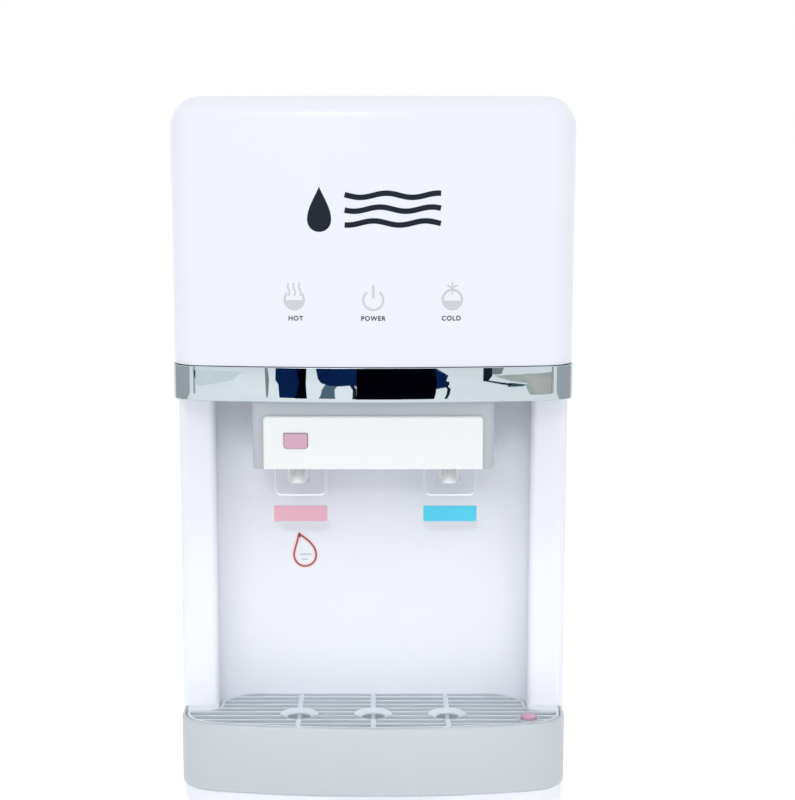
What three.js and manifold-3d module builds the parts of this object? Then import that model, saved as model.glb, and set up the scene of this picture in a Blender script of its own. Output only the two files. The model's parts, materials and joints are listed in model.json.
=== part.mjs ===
// Countertop hot and cold water dispenser, in millimetres.
// +Z is up, -Y is the front, +X is to the right of someone who faces the front.
// The origin is on the surface it stands on, under the middle of the whole object.
import * as THREE from 'three';
import { mergeVertices } from 'three/addons/utils/BufferGeometryUtils.js';
import Module from 'manifold-3d';

const wasm = await Module();
wasm.setup();

// Overall size.
const WIDTH = 260;
const DEPTH = 400;
const HEIGHT = 475;
const HALF_WIDTH = WIDTH / 2;
const FRONT_Y = -DEPTH / 2;
const REAR_Y = DEPTH / 2;

// Walls and the gap left between pieces that touch.
const WALL = 2.5;
const SHEET = 2;
const GAP = 0.3;

// Levels.
const FOOT_HEIGHT = 5;
const PLINTH_TOP = 19;
const BASE_BOTTOM = PLINTH_TOP + 0.4;
const BASE_TOP = 66;
const HOUSING_BOTTOM = 237.5;
const BAND_BOTTOM = 282.4;
const BAND_TOP = 304.9;
const HEAD_BOTTOM = BAND_TOP + GAP;
const TOP_COVER_BOTTOM = 452.3;

// Depth positions.
const HEAD_BACK_Y = -119.7;
const PILLAR_FRONT_Y = -148;
const RECESS_WALL_Y = -120;
const LEDGE_FRONT_Y = -157.5;
const BODY_BACK_Y = 190;
const BACK_PLATE_Y = BODY_BACK_Y - SHEET;

// Bowed outlines seen from above: a shallow front arc between two rounded corners.
const BASE_PLAN = { halfWidth: HALF_WIDTH - 1, frontY: FRONT_Y, bowRadius: 520, cornerRadius: 26 };
const BAND_PLAN = { halfWidth: HALF_WIDTH, frontY: -198.5, bowRadius: 640, cornerRadius: 18 };
const HEAD_PLAN = { halfWidth: HALF_WIDTH - 0.5, frontY: -197.5, bowRadius: 640, cornerRadius: 17 };
const PLINTH_PLAN = { halfWidth: HALF_WIDTH - 2.2, frontY: -198, bowRadius: 520, cornerRadius: 26 };

// Head edges.
const TOP_SIDE_RADIUS = 20;
const TOP_FRONT_RADIUS = 13;

// Recess outline.
const PILLAR_INNER_X = 105;
const PILLAR_OUTER_RADIUS = 6;
const PILLAR_INNER_RADIUS = 5;
const RECESS_FILLET = { across: 28, deep: 24 };
const RECESS_FILLET_X = PILLAR_INNER_X - RECESS_FILLET.across;
const RECESS_FILLET_Y = RECESS_WALL_Y - RECESS_FILLET.deep;
const LEDGE_RADIUS = 9;
const LEDGE_THICKNESS = 3;

// Taps and levers.
const TAP_X = 50;
const TAP_Y = -163;
const TAP_PORT_Z = 250;
const TAP_TOP = 260;
const SPOUT_BOTTOM = 224.2;
const LEVER_Y = -150;
const LEVER_HINGE_Z = 273;
const LEVER_HALF_WIDTH = 18.2;
const LEVER_SHIFT = 1.4; // both cup levers hang this far to the right of their spouts
const LEVER_THICKNESS = 2.5;
const LEVER_BOTTOM = 194.8;
const LEVER_WINDOW_BOTTOM = 213.6;
const LEVER_PIN_RADIUS = 1.5;
const HOUSING_HALF_WIDTH = 78.3;
const HOUSING_FRONT_Y = -187.3;
const FACE_HALF_WIDTH = 71;
const FACE_TOP = 272.5;
const BUTTON = { x: -50, z: 256.6, halfWidth: 7.6, halfHeight: 4.9 };

// Drip tray.
const PAN_BOTTOM = BASE_BOTTOM + WALL + GAP;
const PAN_TOP = 61.8;
const GRILLE_BOTTOM = PAN_TOP + GAP;
const SLAT_PITCH = 8.3;
const SLAT_COUNT = 8;
const SLAT_FIRST_Y = -186.5;
const RING_Y = -166;
const RING_XS = [-TAP_X, 0, TAP_X];
const FLOAT = { x: 104, y: -176.5, radius: 5, top: 68.9 };
const CUP_REST = { outerRadius: 13, innerRadius: 8, drop: 1.6 };

// Tank and lid.
const TANK = { x: 0, y: 25, radius: 64, wall: 1.5, bottom: 292, top: 454 };
const LID_HALF = 79.4;
const LID_THICKNESS = 3.5;

// Lower machine space.
const HOT_TANK = { x: -62, y: -40, radius: 42, bottom: 120, top: 225 };
const COMPRESSOR = { x: 60, y: 110, radius: 48, bottom: 11.6, top: 126 };
const FAN = { x: 0, y: 147, z: 210, half: 46 };
const FILTER = { y: -78, radius: 26, bottom: 30, top: 210 };

// Rear service panel.
const SERVICE_TOP = 134.7;
const INLET = { x: 80, z: 100, radius: 8 };
const DRAIN = { x: 80, z: 50, radius: 8 };
const SOCKET = { x: -70, z: 52, halfWidth: 13.5, halfHeight: 9.8 };
const SWITCH = { xs: [-86, -54], z: 100, halfWidth: 6.2, halfHeight: 9.2, tilt: 8 };

const group = new THREE.Group();

// ---------------------------------------------------------------- shapes

// A closed geometry as a solid: shared vertices merged, flat triangles dropped, faces turned outwards.
function solid(geometry) {
  const bare = geometry.clone();
  bare.deleteAttribute('normal');
  bare.deleteAttribute('uv');
  const merged = mergeVertices(bare, 1e-4);
  const position = merged.getAttribute('position').array;
  const corners = [];
  for (let i = 0; i < merged.index.count; i += 3) {
    const [a, b, c] = merged.index.array.slice(i, i + 3);
    if (a !== b && b !== c && c !== a) corners.push(a, b, c);
  }
  const build = (triangles) => new wasm.Manifold(new wasm.Mesh({
    numProp: 3,
    vertProperties: new Float32Array(position),
    triVerts: new Uint32Array(triangles),
  }));
  const made = build(corners);
  return made.volume() > 0 ? made : build(corners.reverse());
}

function geometryOf(made) {
  const mesh = made.getMesh();
  const geometry = new THREE.BufferGeometry();
  geometry.setAttribute('position', new THREE.BufferAttribute(mesh.vertProperties, 3));
  geometry.setIndex(new THREE.BufferAttribute(mesh.triVerts, 1));
  return geometry;
}

const joined = (first, ...others) => others.reduce((sum, other) => sum.add(other), first);
const cut = (first, ...tools) => tools.reduce((rest, tool) => rest.subtract(tool), first);

function box(x0, x1, y0, y1, z0, z1) {
  const geometry = new THREE.BoxGeometry(x1 - x0, y1 - y0, z1 - z0);
  geometry.translate((x0 + x1) / 2, (y0 + y1) / 2, (z0 + z1) / 2);
  return solid(geometry);
}

function extruded(shape, length, curveSegments) {
  return new THREE.ExtrudeGeometry(shape, { depth: length, bevelEnabled: false, curveSegments });
}

// A prism along Z of a shape drawn in X and Y.
function prismZ(shape, z0, z1, curveSegments = 3) {
  const geometry = extruded(shape, z1 - z0, curveSegments);
  geometry.translate(0, 0, z0);
  return solid(geometry);
}

// A prism along Y of a shape drawn in X and Z.
function prismY(shape, y0, y1, curveSegments = 3) {
  const geometry = extruded(shape, y1 - y0, curveSegments);
  geometry.rotateX(Math.PI / 2);
  geometry.translate(0, y1, 0);
  return solid(geometry);
}

// A prism along X of a shape drawn in Y and Z.
function prismX(shape, x0, x1, curveSegments = 3) {
  const geometry = extruded(shape, x1 - x0, curveSegments);
  const turn = new THREE.Matrix4().makeBasis(
    new THREE.Vector3(0, 1, 0),
    new THREE.Vector3(0, 0, 1),
    new THREE.Vector3(1, 0, 0),
  );
  geometry.applyMatrix4(turn);
  geometry.translate(x0, 0, 0);
  return solid(geometry);
}

function roundedRect(x0, x1, y0, y1, radius) {
  const shape = new THREE.Shape();
  shape.moveTo(x0 + radius, y0);
  shape.lineTo(x1 - radius, y0);
  shape.absarc(x1 - radius, y0 + radius, radius, -Math.PI / 2, 0, false);
  shape.lineTo(x1, y1 - radius);
  shape.absarc(x1 - radius, y1 - radius, radius, 0, Math.PI / 2, false);
  shape.lineTo(x0 + radius, y1);
  shape.absarc(x0 + radius, y1 - radius, radius, Math.PI / 2, Math.PI, false);
  shape.lineTo(x0, y0 + radius);
  shape.absarc(x0 + radius, y0 + radius, radius, Math.PI, Math.PI * 1.5, false);
  return shape;
}

// A rectangle whose upper two corners are round.
function archedRect(halfWidth, z0, z1, radius) {
  const shape = new THREE.Shape();
  shape.moveTo(-halfWidth, z0);
  shape.lineTo(halfWidth, z0);
  shape.lineTo(halfWidth, z1 - radius);
  shape.absarc(halfWidth - radius, z1 - radius, radius, 0, Math.PI / 2, false);
  shape.lineTo(-halfWidth + radius, z1);
  shape.absarc(-halfWidth + radius, z1 - radius, radius, Math.PI / 2, Math.PI, false);
  return shape;
}

// A cylinder along the named axis.
function cylinder(axis, radius, from, to, at, segments = 16) {
  const geometry = new THREE.CylinderGeometry(radius, radius, to - from, segments);
  const middle = (from + to) / 2;
  if (axis === 'z') geometry.rotateX(Math.PI / 2).translate(at[0], at[1], middle);
  if (axis === 'y') geometry.translate(at[0], middle, at[1]);
  if (axis === 'x') geometry.rotateZ(Math.PI / 2).translate(middle, at[0], at[1]);
  return solid(geometry);
}

// A turned piece from [radius, height] points, with its axis along Z through (x, y).
function turnedZ(profile, x, y, segments = 18) {
  const points = profile.map(([radius, height]) => new THREE.Vector2(radius, height));
  const geometry = new THREE.LatheGeometry(points, segments);
  geometry.rotateX(Math.PI / 2).translate(x, y, 0);
  return solid(geometry);
}

// A turned piece from [radius, depth] points, with its axis along Y through (x, z).
function turnedY(profile, x, z, segments = 12) {
  const points = profile.map(([radius, depth]) => new THREE.Vector2(radius, depth));
  const geometry = new THREE.LatheGeometry(points, segments);
  geometry.translate(x, 0, z);
  return solid(geometry);
}

function circleShape(radius, sides) {
  const points = [];
  for (let i = 0; i < sides; i += 1) {
    const angle = (i / sides) * Math.PI * 2;
    points.push(new THREE.Vector2(Math.cos(angle) * radius, Math.sin(angle) * radius));
  }
  return new THREE.Shape(points);
}

// A round bar along a curve.
function bar(curve, radius, sides, steps) {
  const section = circleShape(radius, sides);
  return solid(new THREE.ExtrudeGeometry(section, { extrudePath: curve, steps, bevelEnabled: false }));
}

function tubeThrough(points, radius, steps) {
  const curve = new THREE.CatmullRomCurve3(points.map((point) => new THREE.Vector3(...point)));
  return bar(curve, radius, 6, steps);
}

// A helix around an axis along Z or Y.
function coil(axis, centre, coilRadius, wireRadius, turns, length, stepsPerTurn) {
  class Helix extends THREE.Curve {
    getPoint(t, target = new THREE.Vector3()) {
      const angle = t * turns * Math.PI * 2;
      const [a, b] = [Math.cos(angle) * coilRadius, Math.sin(angle) * coilRadius];
      const along = (t - 0.5) * length;
      return axis === 'z'
        ? target.set(centre[0] + a, centre[1] + b, centre[2] + along)
        : target.set(centre[0] + a, centre[1] + along, centre[2] + b);
    }
  }
  return bar(new Helix(), wireRadius, 4, turns * stepsPerTurn);
}

// The bowed outline, drawn in by the given inset, with a straight back.
function traceBowedFront(path, plan, inset) {
  const halfWidth = plan.halfWidth - inset;
  const cornerRadius = plan.cornerRadius - inset;
  const bowRadius = plan.bowRadius - inset;
  const bowY = plan.frontY + plan.bowRadius;
  const cornerX = halfWidth - cornerRadius;
  const cornerY = bowY - Math.sqrt((bowRadius - cornerRadius) ** 2 - cornerX ** 2);
  const turn = Math.atan2(cornerX, bowY - cornerY);
  const ahead = Math.PI * 1.5;
  path.absarc(-cornerX, cornerY, cornerRadius, Math.PI, ahead - turn, false);
  path.absarc(0, bowY, bowRadius, ahead - turn, ahead + turn, false);
  path.absarc(cornerX, cornerY, cornerRadius, ahead + turn, Math.PI * 2, false);
}

function bowedShape(plan, inset, backY) {
  const shape = new THREE.Shape();
  shape.moveTo(plan.halfWidth - inset, backY);
  shape.lineTo(inset - plan.halfWidth, backY);
  traceBowedFront(shape, plan, inset);
  return shape;
}

// A quarter of the recess's rear corner, an ellipse drawn in by the given inset.
function recessCorner(path, side, inset, start, end) {
  const across = RECESS_FILLET.across - inset;
  const deep = RECESS_FILLET.deep - inset;
  path.absellipse(side * RECESS_FILLET_X, RECESS_FILLET_Y, across, deep, start, end, start > end);
}

// The well that the drip tray sits in: bowed in front, stepped in at the ledges, round at the recess corners.
function wellShape(inset) {
  const ledgeX = PILLAR_INNER_X + LEDGE_RADIUS;
  const ledgeY = LEDGE_FRONT_Y + LEDGE_RADIUS;
  const sideX = BASE_PLAN.halfWidth - WALL - inset;
  const innerX = PILLAR_INNER_X - inset;
  const shape = new THREE.Shape();
  shape.moveTo(RECESS_FILLET_X, RECESS_WALL_Y - inset);
  shape.lineTo(-RECESS_FILLET_X, RECESS_WALL_Y - inset);
  recessCorner(shape, -1, inset, Math.PI / 2, Math.PI);
  shape.lineTo(-innerX, ledgeY);
  shape.absarc(-ledgeX, ledgeY, LEDGE_RADIUS + inset, 0, -Math.PI / 2, true);
  shape.lineTo(-sideX, LEDGE_FRONT_Y - inset);
  traceBowedFront(shape, BASE_PLAN, WALL + inset);
  shape.lineTo(sideX, LEDGE_FRONT_Y - inset);
  shape.lineTo(ledgeX, LEDGE_FRONT_Y - inset);
  shape.absarc(ledgeX, ledgeY, LEDGE_RADIUS + inset, -Math.PI / 2, -Math.PI, true);
  shape.lineTo(innerX, RECESS_FILLET_Y);
  recessCorner(shape, 1, inset, 0, Math.PI / 2);
  return shape;
}

// Adds one named piece to the object.
function add(name, made, color, roughness = 0.45, metalness = 0) {
  const material = new THREE.MeshStandardMaterial({ color, roughness, metalness, flatShading: true });
  const mesh = new THREE.Mesh(geometryOf(made), material);
  mesh.name = name;
  group.add(mesh);
}

const WHITE = 0xf1f4fb;
const SILVER = 0xd0d7dc;
const GREY = 0xb4bbc2;
const BLACK = 0x1c1d20;
const STEEL = 0xc4c8cc;
const COPPER = 0xb87342;
const PINK = 0xef9fc0;
const BLUE = 0x46cdf0;
const CLEAR = 0xeef2f4;

// ---------------------------------------------------------------- base

function basePan() {
  const outer = prismZ(bowedShape(PLINTH_PLAN, 0, BACK_PLATE_Y - GAP), FOOT_HEIGHT, PLINTH_TOP);
  const innerShape = bowedShape(PLINTH_PLAN, WALL, BACK_PLATE_Y - GAP - WALL);
  const inner = prismZ(innerShape, FOOT_HEIGHT + 3, PLINTH_TOP + 1);
  add('base_pan', cut(outer, inner), WHITE);
}

function feet() {
  const profile = [[0, 0], [10, 0], [11, 1], [9.5, FOOT_HEIGHT - GAP], [0, FOOT_HEIGHT - GAP]];
  for (const [side, x] of [['left', -100], ['right', 100]]) {
    for (const [end, y] of [['front', -160], ['rear', 160]]) {
      add(`foot_${end}_${side}`, turnedZ(profile, x, y, 14), BLACK, 0.9);
    }
  }
}

function baseFrontCover() {
  const backY = PILLAR_FRONT_Y - GAP;
  const outer = prismZ(bowedShape(BASE_PLAN, 0, backY), BASE_BOTTOM, BASE_TOP);
  const hollow = prismZ(bowedShape(BASE_PLAN, WALL, backY + 1), BASE_BOTTOM - 1, BASE_TOP + 1);
  const floor = prismZ(wellShape(1), BASE_BOTTOM, BASE_BOTTOM + WALL);
  const frontFloor = prismZ(bowedShape(BASE_PLAN, 1, LEDGE_FRONT_Y), BASE_BOTTOM, BASE_BOTTOM + WALL);
  add('base_front_cover', joined(cut(outer, hollow), floor, frontFloor), SILVER, 0.35, 0.3);
}

// ---------------------------------------------------------------- casing

// The front of the recess and its pillars, as points from left to right, moved back by the given offset.
function recessPath(offset) {
  const path = new THREE.Path();
  const outerX = HALF_WIDTH - PILLAR_OUTER_RADIUS;
  const outerY = PILLAR_FRONT_Y + PILLAR_OUTER_RADIUS;
  const innerX = PILLAR_INNER_X + PILLAR_INNER_RADIUS;
  const innerY = PILLAR_FRONT_Y + PILLAR_INNER_RADIUS;
  const outerRadius = PILLAR_OUTER_RADIUS - offset;
  const innerRadius = PILLAR_INNER_RADIUS - offset;
  path.moveTo(offset - HALF_WIDTH, HEAD_BACK_Y);
  path.lineTo(offset - HALF_WIDTH, outerY);
  path.absarc(-outerX, outerY, outerRadius, Math.PI, Math.PI * 1.5, false);
  path.absarc(-innerX, innerY, innerRadius, -Math.PI / 2, 0, false);
  recessCorner(path, -1, -offset, Math.PI, Math.PI / 2);
  recessCorner(path, 1, -offset, Math.PI / 2, 0);
  path.absarc(innerX, innerY, innerRadius, Math.PI, Math.PI * 1.5, false);
  path.absarc(outerX, outerY, outerRadius, -Math.PI / 2, 0, false);
  path.lineTo(HALF_WIDTH - offset, HEAD_BACK_Y);
  return path.getPoints(3);
}

function recessPanel() {
  const top = BAND_BOTTOM - GAP;
  const outline = new THREE.Shape([...recessPath(0), ...recessPath(WALL).reverse()]);
  const wall = prismZ(outline, BASE_BOTTOM, top);
  const ledgeX = BASE_PLAN.halfWidth - WALL - GAP;
  const ledgeBackY = PILLAR_FRONT_Y + WALL / 2;
  const ledges = [-1, 1].map((side) => {
    const [x0, x1] = side < 0 ? [-ledgeX, 1 - PILLAR_INNER_X] : [PILLAR_INNER_X - 1, ledgeX];
    return box(x0, x1, LEDGE_FRONT_Y, ledgeBackY, BASE_TOP - LEDGE_THICKNESS, BASE_TOP);
  });
  const trimmed = ledges.map((ledge) => cut(ledge, prismZ(wellShape(0), BASE_BOTTOM, BASE_TOP + 1)));
  const tubeHoles = [-TAP_X, TAP_X].map((x) => (
    cylinder('y', 6, RECESS_WALL_Y - 5, RECESS_WALL_Y + 10, [x, TAP_PORT_Z], 10)
  ));
  add('recess_panel', cut(joined(wall, ...trimmed), ...tubeHoles), WHITE);
}

// A row of horizontal slots through a wall that faces along X.
function sideSlots(x0, x1) {
  const slots = [];
  for (let row = 0; row < 8; row += 1) {
    const z = 60 + row * 10;
    slots.push(box(x0, x1, 110, 150, z, z + 3));
  }
  return slots;
}

function sidePanels() {
  const frontY = HEAD_BACK_Y + GAP;
  const backY = BACK_PLATE_Y - GAP;
  for (const [side, x0] of [['left', -HALF_WIDTH], ['right', HALF_WIDTH - SHEET]]) {
    const x1 = x0 + SHEET;
    const panel = box(x0, x1, frontY, backY, BASE_BOTTOM, TOP_COVER_BOTTOM - GAP);
    add(`side_panel_${side}`, cut(panel, ...sideSlots(x0 - 1, x1 + 1)), WHITE);
  }
}

function rearCover() {
  const plate = box(
    GAP - HALF_WIDTH, HALF_WIDTH - GAP, BACK_PLATE_Y, BODY_BACK_Y, SERVICE_TOP + GAP, TOP_COVER_BOTTOM - GAP,
  );
  const slots = [];
  for (const x of [-60, 0, 60]) {
    for (let row = 0; row < 9; row += 1) {
      const z = 165 + row * 13;
      slots.push(box(x - 22, x + 22, BACK_PLATE_Y - 1, BODY_BACK_Y + 1, z, z + 4));
    }
  }
  add('rear_cover', cut(plate, ...slots), WHITE, 0.5);
}

function servicePanel() {
  const [y0, y1] = [BACK_PLATE_Y - 1, BODY_BACK_Y + 1];
  const plate = box(GAP - HALF_WIDTH, HALF_WIDTH - GAP, BACK_PLATE_Y, BODY_BACK_Y, BASE_BOTTOM, SERVICE_TOP);
  const holes = [
    cylinder('y', INLET.radius + GAP, y0, y1, [INLET.x, INLET.z]),
    cylinder('y', DRAIN.radius + GAP, y0, y1, [DRAIN.x, DRAIN.z]),
    box(
      SOCKET.x - SOCKET.halfWidth - GAP, SOCKET.x + SOCKET.halfWidth + GAP, y0, y1,
      SOCKET.z - SOCKET.halfHeight - GAP, SOCKET.z + SOCKET.halfHeight + GAP,
    ),
    ...SWITCH.xs.map((x) => box(
      x - SWITCH.halfWidth - 0.6, x + SWITCH.halfWidth + 0.6, y0, y1,
      SWITCH.z - SWITCH.halfHeight - 1.2, SWITCH.z + SWITCH.halfHeight + 1.2,
    )),
  ];
  add('service_panel', cut(plate, ...holes), GREY, 0.5, 0.6);
}

function topCover() {
  const frontY = HEAD_BACK_Y + GAP;
  const along = (inset) => prismY(
    archedRect(HALF_WIDTH - inset, TOP_COVER_BOTTOM - inset, HEIGHT - inset, TOP_SIDE_RADIUS - inset),
    frontY - inset, BODY_BACK_Y - inset, 5,
  );
  const opening = prismZ(roundedRect(
    -LID_HALF - 0.4, LID_HALF + 0.4, TANK.y - LID_HALF - 0.4, TANK.y + LID_HALF + 0.4, 18,
  ), HEIGHT - 20, HEIGHT + 1);
  add('top_cover', cut(along(0), along(WALL), opening), WHITE);
}

// The head's outer form: bowed plan, round top side edges and a round top front edge.
function headForm(inset) {
  const backY = HEAD_BACK_Y + inset;
  const plan = prismZ(bowedShape(HEAD_PLAN, inset, backY), HEAD_BOTTOM - inset, HEIGHT - inset, 5);
  const front = prismY(
    archedRect(HEAD_PLAN.halfWidth - inset, HEAD_BOTTOM - inset, HEIGHT - inset, TOP_SIDE_RADIUS - inset),
    HEAD_PLAN.frontY - 1, backY, 5,
  );
  const side = new THREE.Shape();
  const radius = TOP_FRONT_RADIUS - inset;
  const frontY = HEAD_PLAN.frontY + inset;
  side.moveTo(frontY, HEAD_BOTTOM - inset);
  side.lineTo(backY, HEAD_BOTTOM - inset);
  side.lineTo(backY, HEIGHT - inset);
  side.absarc(frontY + radius, HEIGHT - inset - radius, radius, Math.PI / 2, Math.PI, false);
  return plan.intersect(front).intersect(prismX(side, -HALF_WIDTH, HALF_WIDTH, 4));
}

function headFrontCover() {
  add('head_front_cover', cut(headForm(0), headForm(WALL)), WHITE, 0.3);
}

function chromeTrim() {
  const outer = prismZ(bowedShape(BAND_PLAN, 0, HEAD_BACK_Y), BAND_BOTTOM, BAND_TOP, 6);
  const inner = prismZ(bowedShape(BAND_PLAN, SHEET, HEAD_BACK_Y + 1), BAND_BOTTOM - 1, BAND_TOP + 1, 6);
  add('chrome_trim', cut(outer, inner), STEEL, 0.08, 1);
}

function headFloor() {
  const inset = SHEET + GAP;
  const bottom = BAND_BOTTOM + GAP;
  add('head_floor', prismZ(bowedShape(BAND_PLAN, inset, HEAD_BACK_Y), bottom, bottom + SHEET), WHITE);
}

// ---------------------------------------------------------------- tap housing

function faucetHousing() {
  const backY = RECESS_WALL_Y - GAP;
  const plan = (inset) => roundedRect(
    inset - HOUSING_HALF_WIDTH, HOUSING_HALF_WIDTH - inset, HOUSING_FRONT_Y + inset, backY + 20, 5 - inset,
  );
  const outer = cut(
    prismZ(plan(0), HOUSING_BOTTOM, BAND_BOTTOM, 2),
    box(-HALF_WIDTH, HALF_WIDTH, backY, backY + 30, HOUSING_BOTTOM - 1, BAND_BOTTOM + 1),
  );
  const inner = prismZ(plan(WALL), HOUSING_BOTTOM + WALL, BAND_BOTTOM + 1, 2);
  const spoutHoles = [-TAP_X, TAP_X].map((x) => (
    cylinder('z', 8.4, HOUSING_BOTTOM - 1, HOUSING_BOTTOM + WALL + 1, [x, TAP_Y])
  ));
  const leverSlots = [LEVER_SHIFT - TAP_X, LEVER_SHIFT + TAP_X].map((x) => box(
    x - LEVER_HALF_WIDTH - 0.6, x + LEVER_HALF_WIDTH + 0.6,
    LEVER_Y - 1.9, LEVER_Y + 8.2, HOUSING_BOTTOM - 1, HOUSING_BOTTOM + WALL + 1,
  ));
  const buttonHole = box(
    BUTTON.x - BUTTON.halfWidth - GAP, BUTTON.x + BUTTON.halfWidth + GAP, HOUSING_FRONT_Y - 1,
    HOUSING_FRONT_Y + WALL + 1, BUTTON.z - BUTTON.halfHeight - GAP, BUTTON.z + BUTTON.halfHeight + GAP,
  );
  add('faucet_housing', cut(outer, inner, ...spoutHoles, ...leverSlots, buttonHole), GREY, 0.4, 0.2);
}

function faucetFace() {
  const y1 = HOUSING_FRONT_Y - GAP;
  const plate = prismY(archedRect(FACE_HALF_WIDTH, HOUSING_BOTTOM + 0.2, FACE_TOP, 4), y1 - WALL, y1);
  const hole = box(
    BUTTON.x - BUTTON.halfWidth - GAP, BUTTON.x + BUTTON.halfWidth + GAP, y1 - WALL - 1, y1 + 1,
    BUTTON.z - BUTTON.halfHeight - GAP, BUTTON.z + BUTTON.halfHeight + GAP,
  );
  add('faucet_face', cut(plate, hole), WHITE, 0.3);
}

const BUTTON_BACK_Y = HOUSING_FRONT_Y + WALL + GAP + 2.5;

function hotLockButton() {
  const { x, z, halfWidth, halfHeight } = BUTTON;
  const cap = prismY(
    roundedRect(x - halfWidth, x + halfWidth, z - halfHeight, z + halfHeight, 1.5),
    HOUSING_FRONT_Y - GAP - WALL - 1.5, BUTTON_BACK_Y - 1, 2,
  );
  const flange = box(
    x - halfWidth - 2, x + halfWidth + 2, BUTTON_BACK_Y - 2.5, BUTTON_BACK_Y,
    z - halfHeight - 2, z + halfHeight + 2,
  );
  add('hot_lock_button', joined(cap, flange), PINK, 0.4);
  const springLength = 6;
  const springY = BUTTON_BACK_Y + GAP + springLength / 2;
  add('hot_lock_spring', coil('y', [x, springY, z], 3, 0.5, 3, springLength - 1, 8), STEEL, 0.3, 0.9);
}

// The valve body: nozzle in its sleeve below the housing floor, barrel above it, hose port at the back.
function tapBody(x) {
  const bore = 3.8;
  const floorTop = HOUSING_BOTTOM + WALL + GAP;
  const barrel = turnedZ([
    [bore, SPOUT_BOTTOM], [5.2, SPOUT_BOTTOM], [5.2, SPOUT_BOTTOM + 0.8], [8, SPOUT_BOTTOM + 0.8],
    [8, floorTop], [10.5, floorTop], [10.5, floorTop + 3], [8.5, floorTop + 4],
    [8.5, TAP_TOP], [bore, TAP_TOP], [bore, SPOUT_BOTTOM],
  ], x, TAP_Y, 16);
  const port = cylinder('y', 4.5, TAP_Y + 7, TAP_Y + 23, [x, TAP_PORT_Z], 10);
  const portBore = cylinder('y', 1.8, TAP_Y + 2, TAP_Y + 24, [x, TAP_PORT_Z], 6);
  return cut(joined(barrel, port), portBore);
}

// The valve stem: a shaft in the barrel's bore, a spring collar and a tip under the lever's finger.
function valveStem(x) {
  return turnedZ([
    [0, 237], [3.2, 237], [3.2, TAP_TOP + 8.8], [6, TAP_TOP + 8.8], [6, TAP_TOP + 10.6],
    [1.6, TAP_TOP + 10.6], [1.6, LEVER_HINGE_Z], [0, LEVER_HINGE_Z],
  ], x, TAP_Y, 12);
}

// The clear cup lever: a frame round a window, a hub on the hinge rod and a finger over the valve stem.
function lever(x) {
  const [y0, y1] = [LEVER_Y - LEVER_THICKNESS / 2, LEVER_Y + LEVER_THICKNESS / 2];
  const [x0, x1] = [x + LEVER_SHIFT - LEVER_HALF_WIDTH, x + LEVER_SHIFT + LEVER_HALF_WIDTH];
  const armWidth = 2.5;
  const plate = prismY(roundedRect(x0, x1, LEVER_BOTTOM, LEVER_HINGE_Z, 1.5), y0, y1, 2);
  const window = prismY(
    roundedRect(x0 + armWidth, x1 - armWidth, LEVER_WINDOW_BOTTOM, LEVER_HINGE_Z - 5, 3), y0 - 1, y1 + 1, 2,
  );
  const hub = cylinder('x', 4.2, x0, x1, [LEVER_Y, LEVER_HINGE_Z], 16);
  const finger = box(x - 3, x + 3, TAP_Y - 1.8, LEVER_Y, LEVER_HINGE_Z + GAP, LEVER_HINGE_Z + 4);
  const bore = cylinder('x', LEVER_PIN_RADIUS + GAP, x0 - 1, x1 + 1, [LEVER_Y, LEVER_HINGE_Z], 12);
  return cut(joined(cut(plate, window), hub, finger), bore);
}

function leverStrip(x) {
  const frontY = LEVER_Y - LEVER_THICKNESS / 2 - GAP;
  const [middle, half] = [x + LEVER_SHIFT, LEVER_HALF_WIDTH - 0.4];
  return box(middle - half, middle + half, frontY - 0.8, frontY, 195.7, 206.2);
}

function taps() {
  for (const [name, x, color] of [['hot', -TAP_X, PINK], ['cold', TAP_X, BLUE]]) {
    add(`${name}_tap_body`, tapBody(x), WHITE, 0.3);
    add(`${name}_valve_stem`, valveStem(x), GREY, 0.5);
    add(`${name}_valve_spring`, coil('z', [x, TAP_Y, TAP_TOP + 4.4], 4.6, 0.5, 3, 6.6, 8), STEEL, 0.3, 0.9);
    add(`${name}_lever`, lever(x), CLEAR, 0.08);
    add(`${name}_lever_strip`, leverStrip(x), color, 0.4);
  }
  const pinEnd = HOUSING_HALF_WIDTH - WALL - GAP;
  const pin = cylinder('x', LEVER_PIN_RADIUS, -pinEnd, pinEnd, [LEVER_Y, LEVER_HINGE_Z], 12);
  add('lever_pin', pin, STEEL, 0.25, 1);
}

// ---------------------------------------------------------------- drip tray

function dripPan() {
  const outer = prismZ(wellShape(2), PAN_BOTTOM, PAN_TOP);
  const hollow = prismZ(wellShape(4), PAN_BOTTOM + 2, PAN_TOP + 1);
  add('drip_pan', cut(outer, hollow), GREY, 0.5);
}

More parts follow.
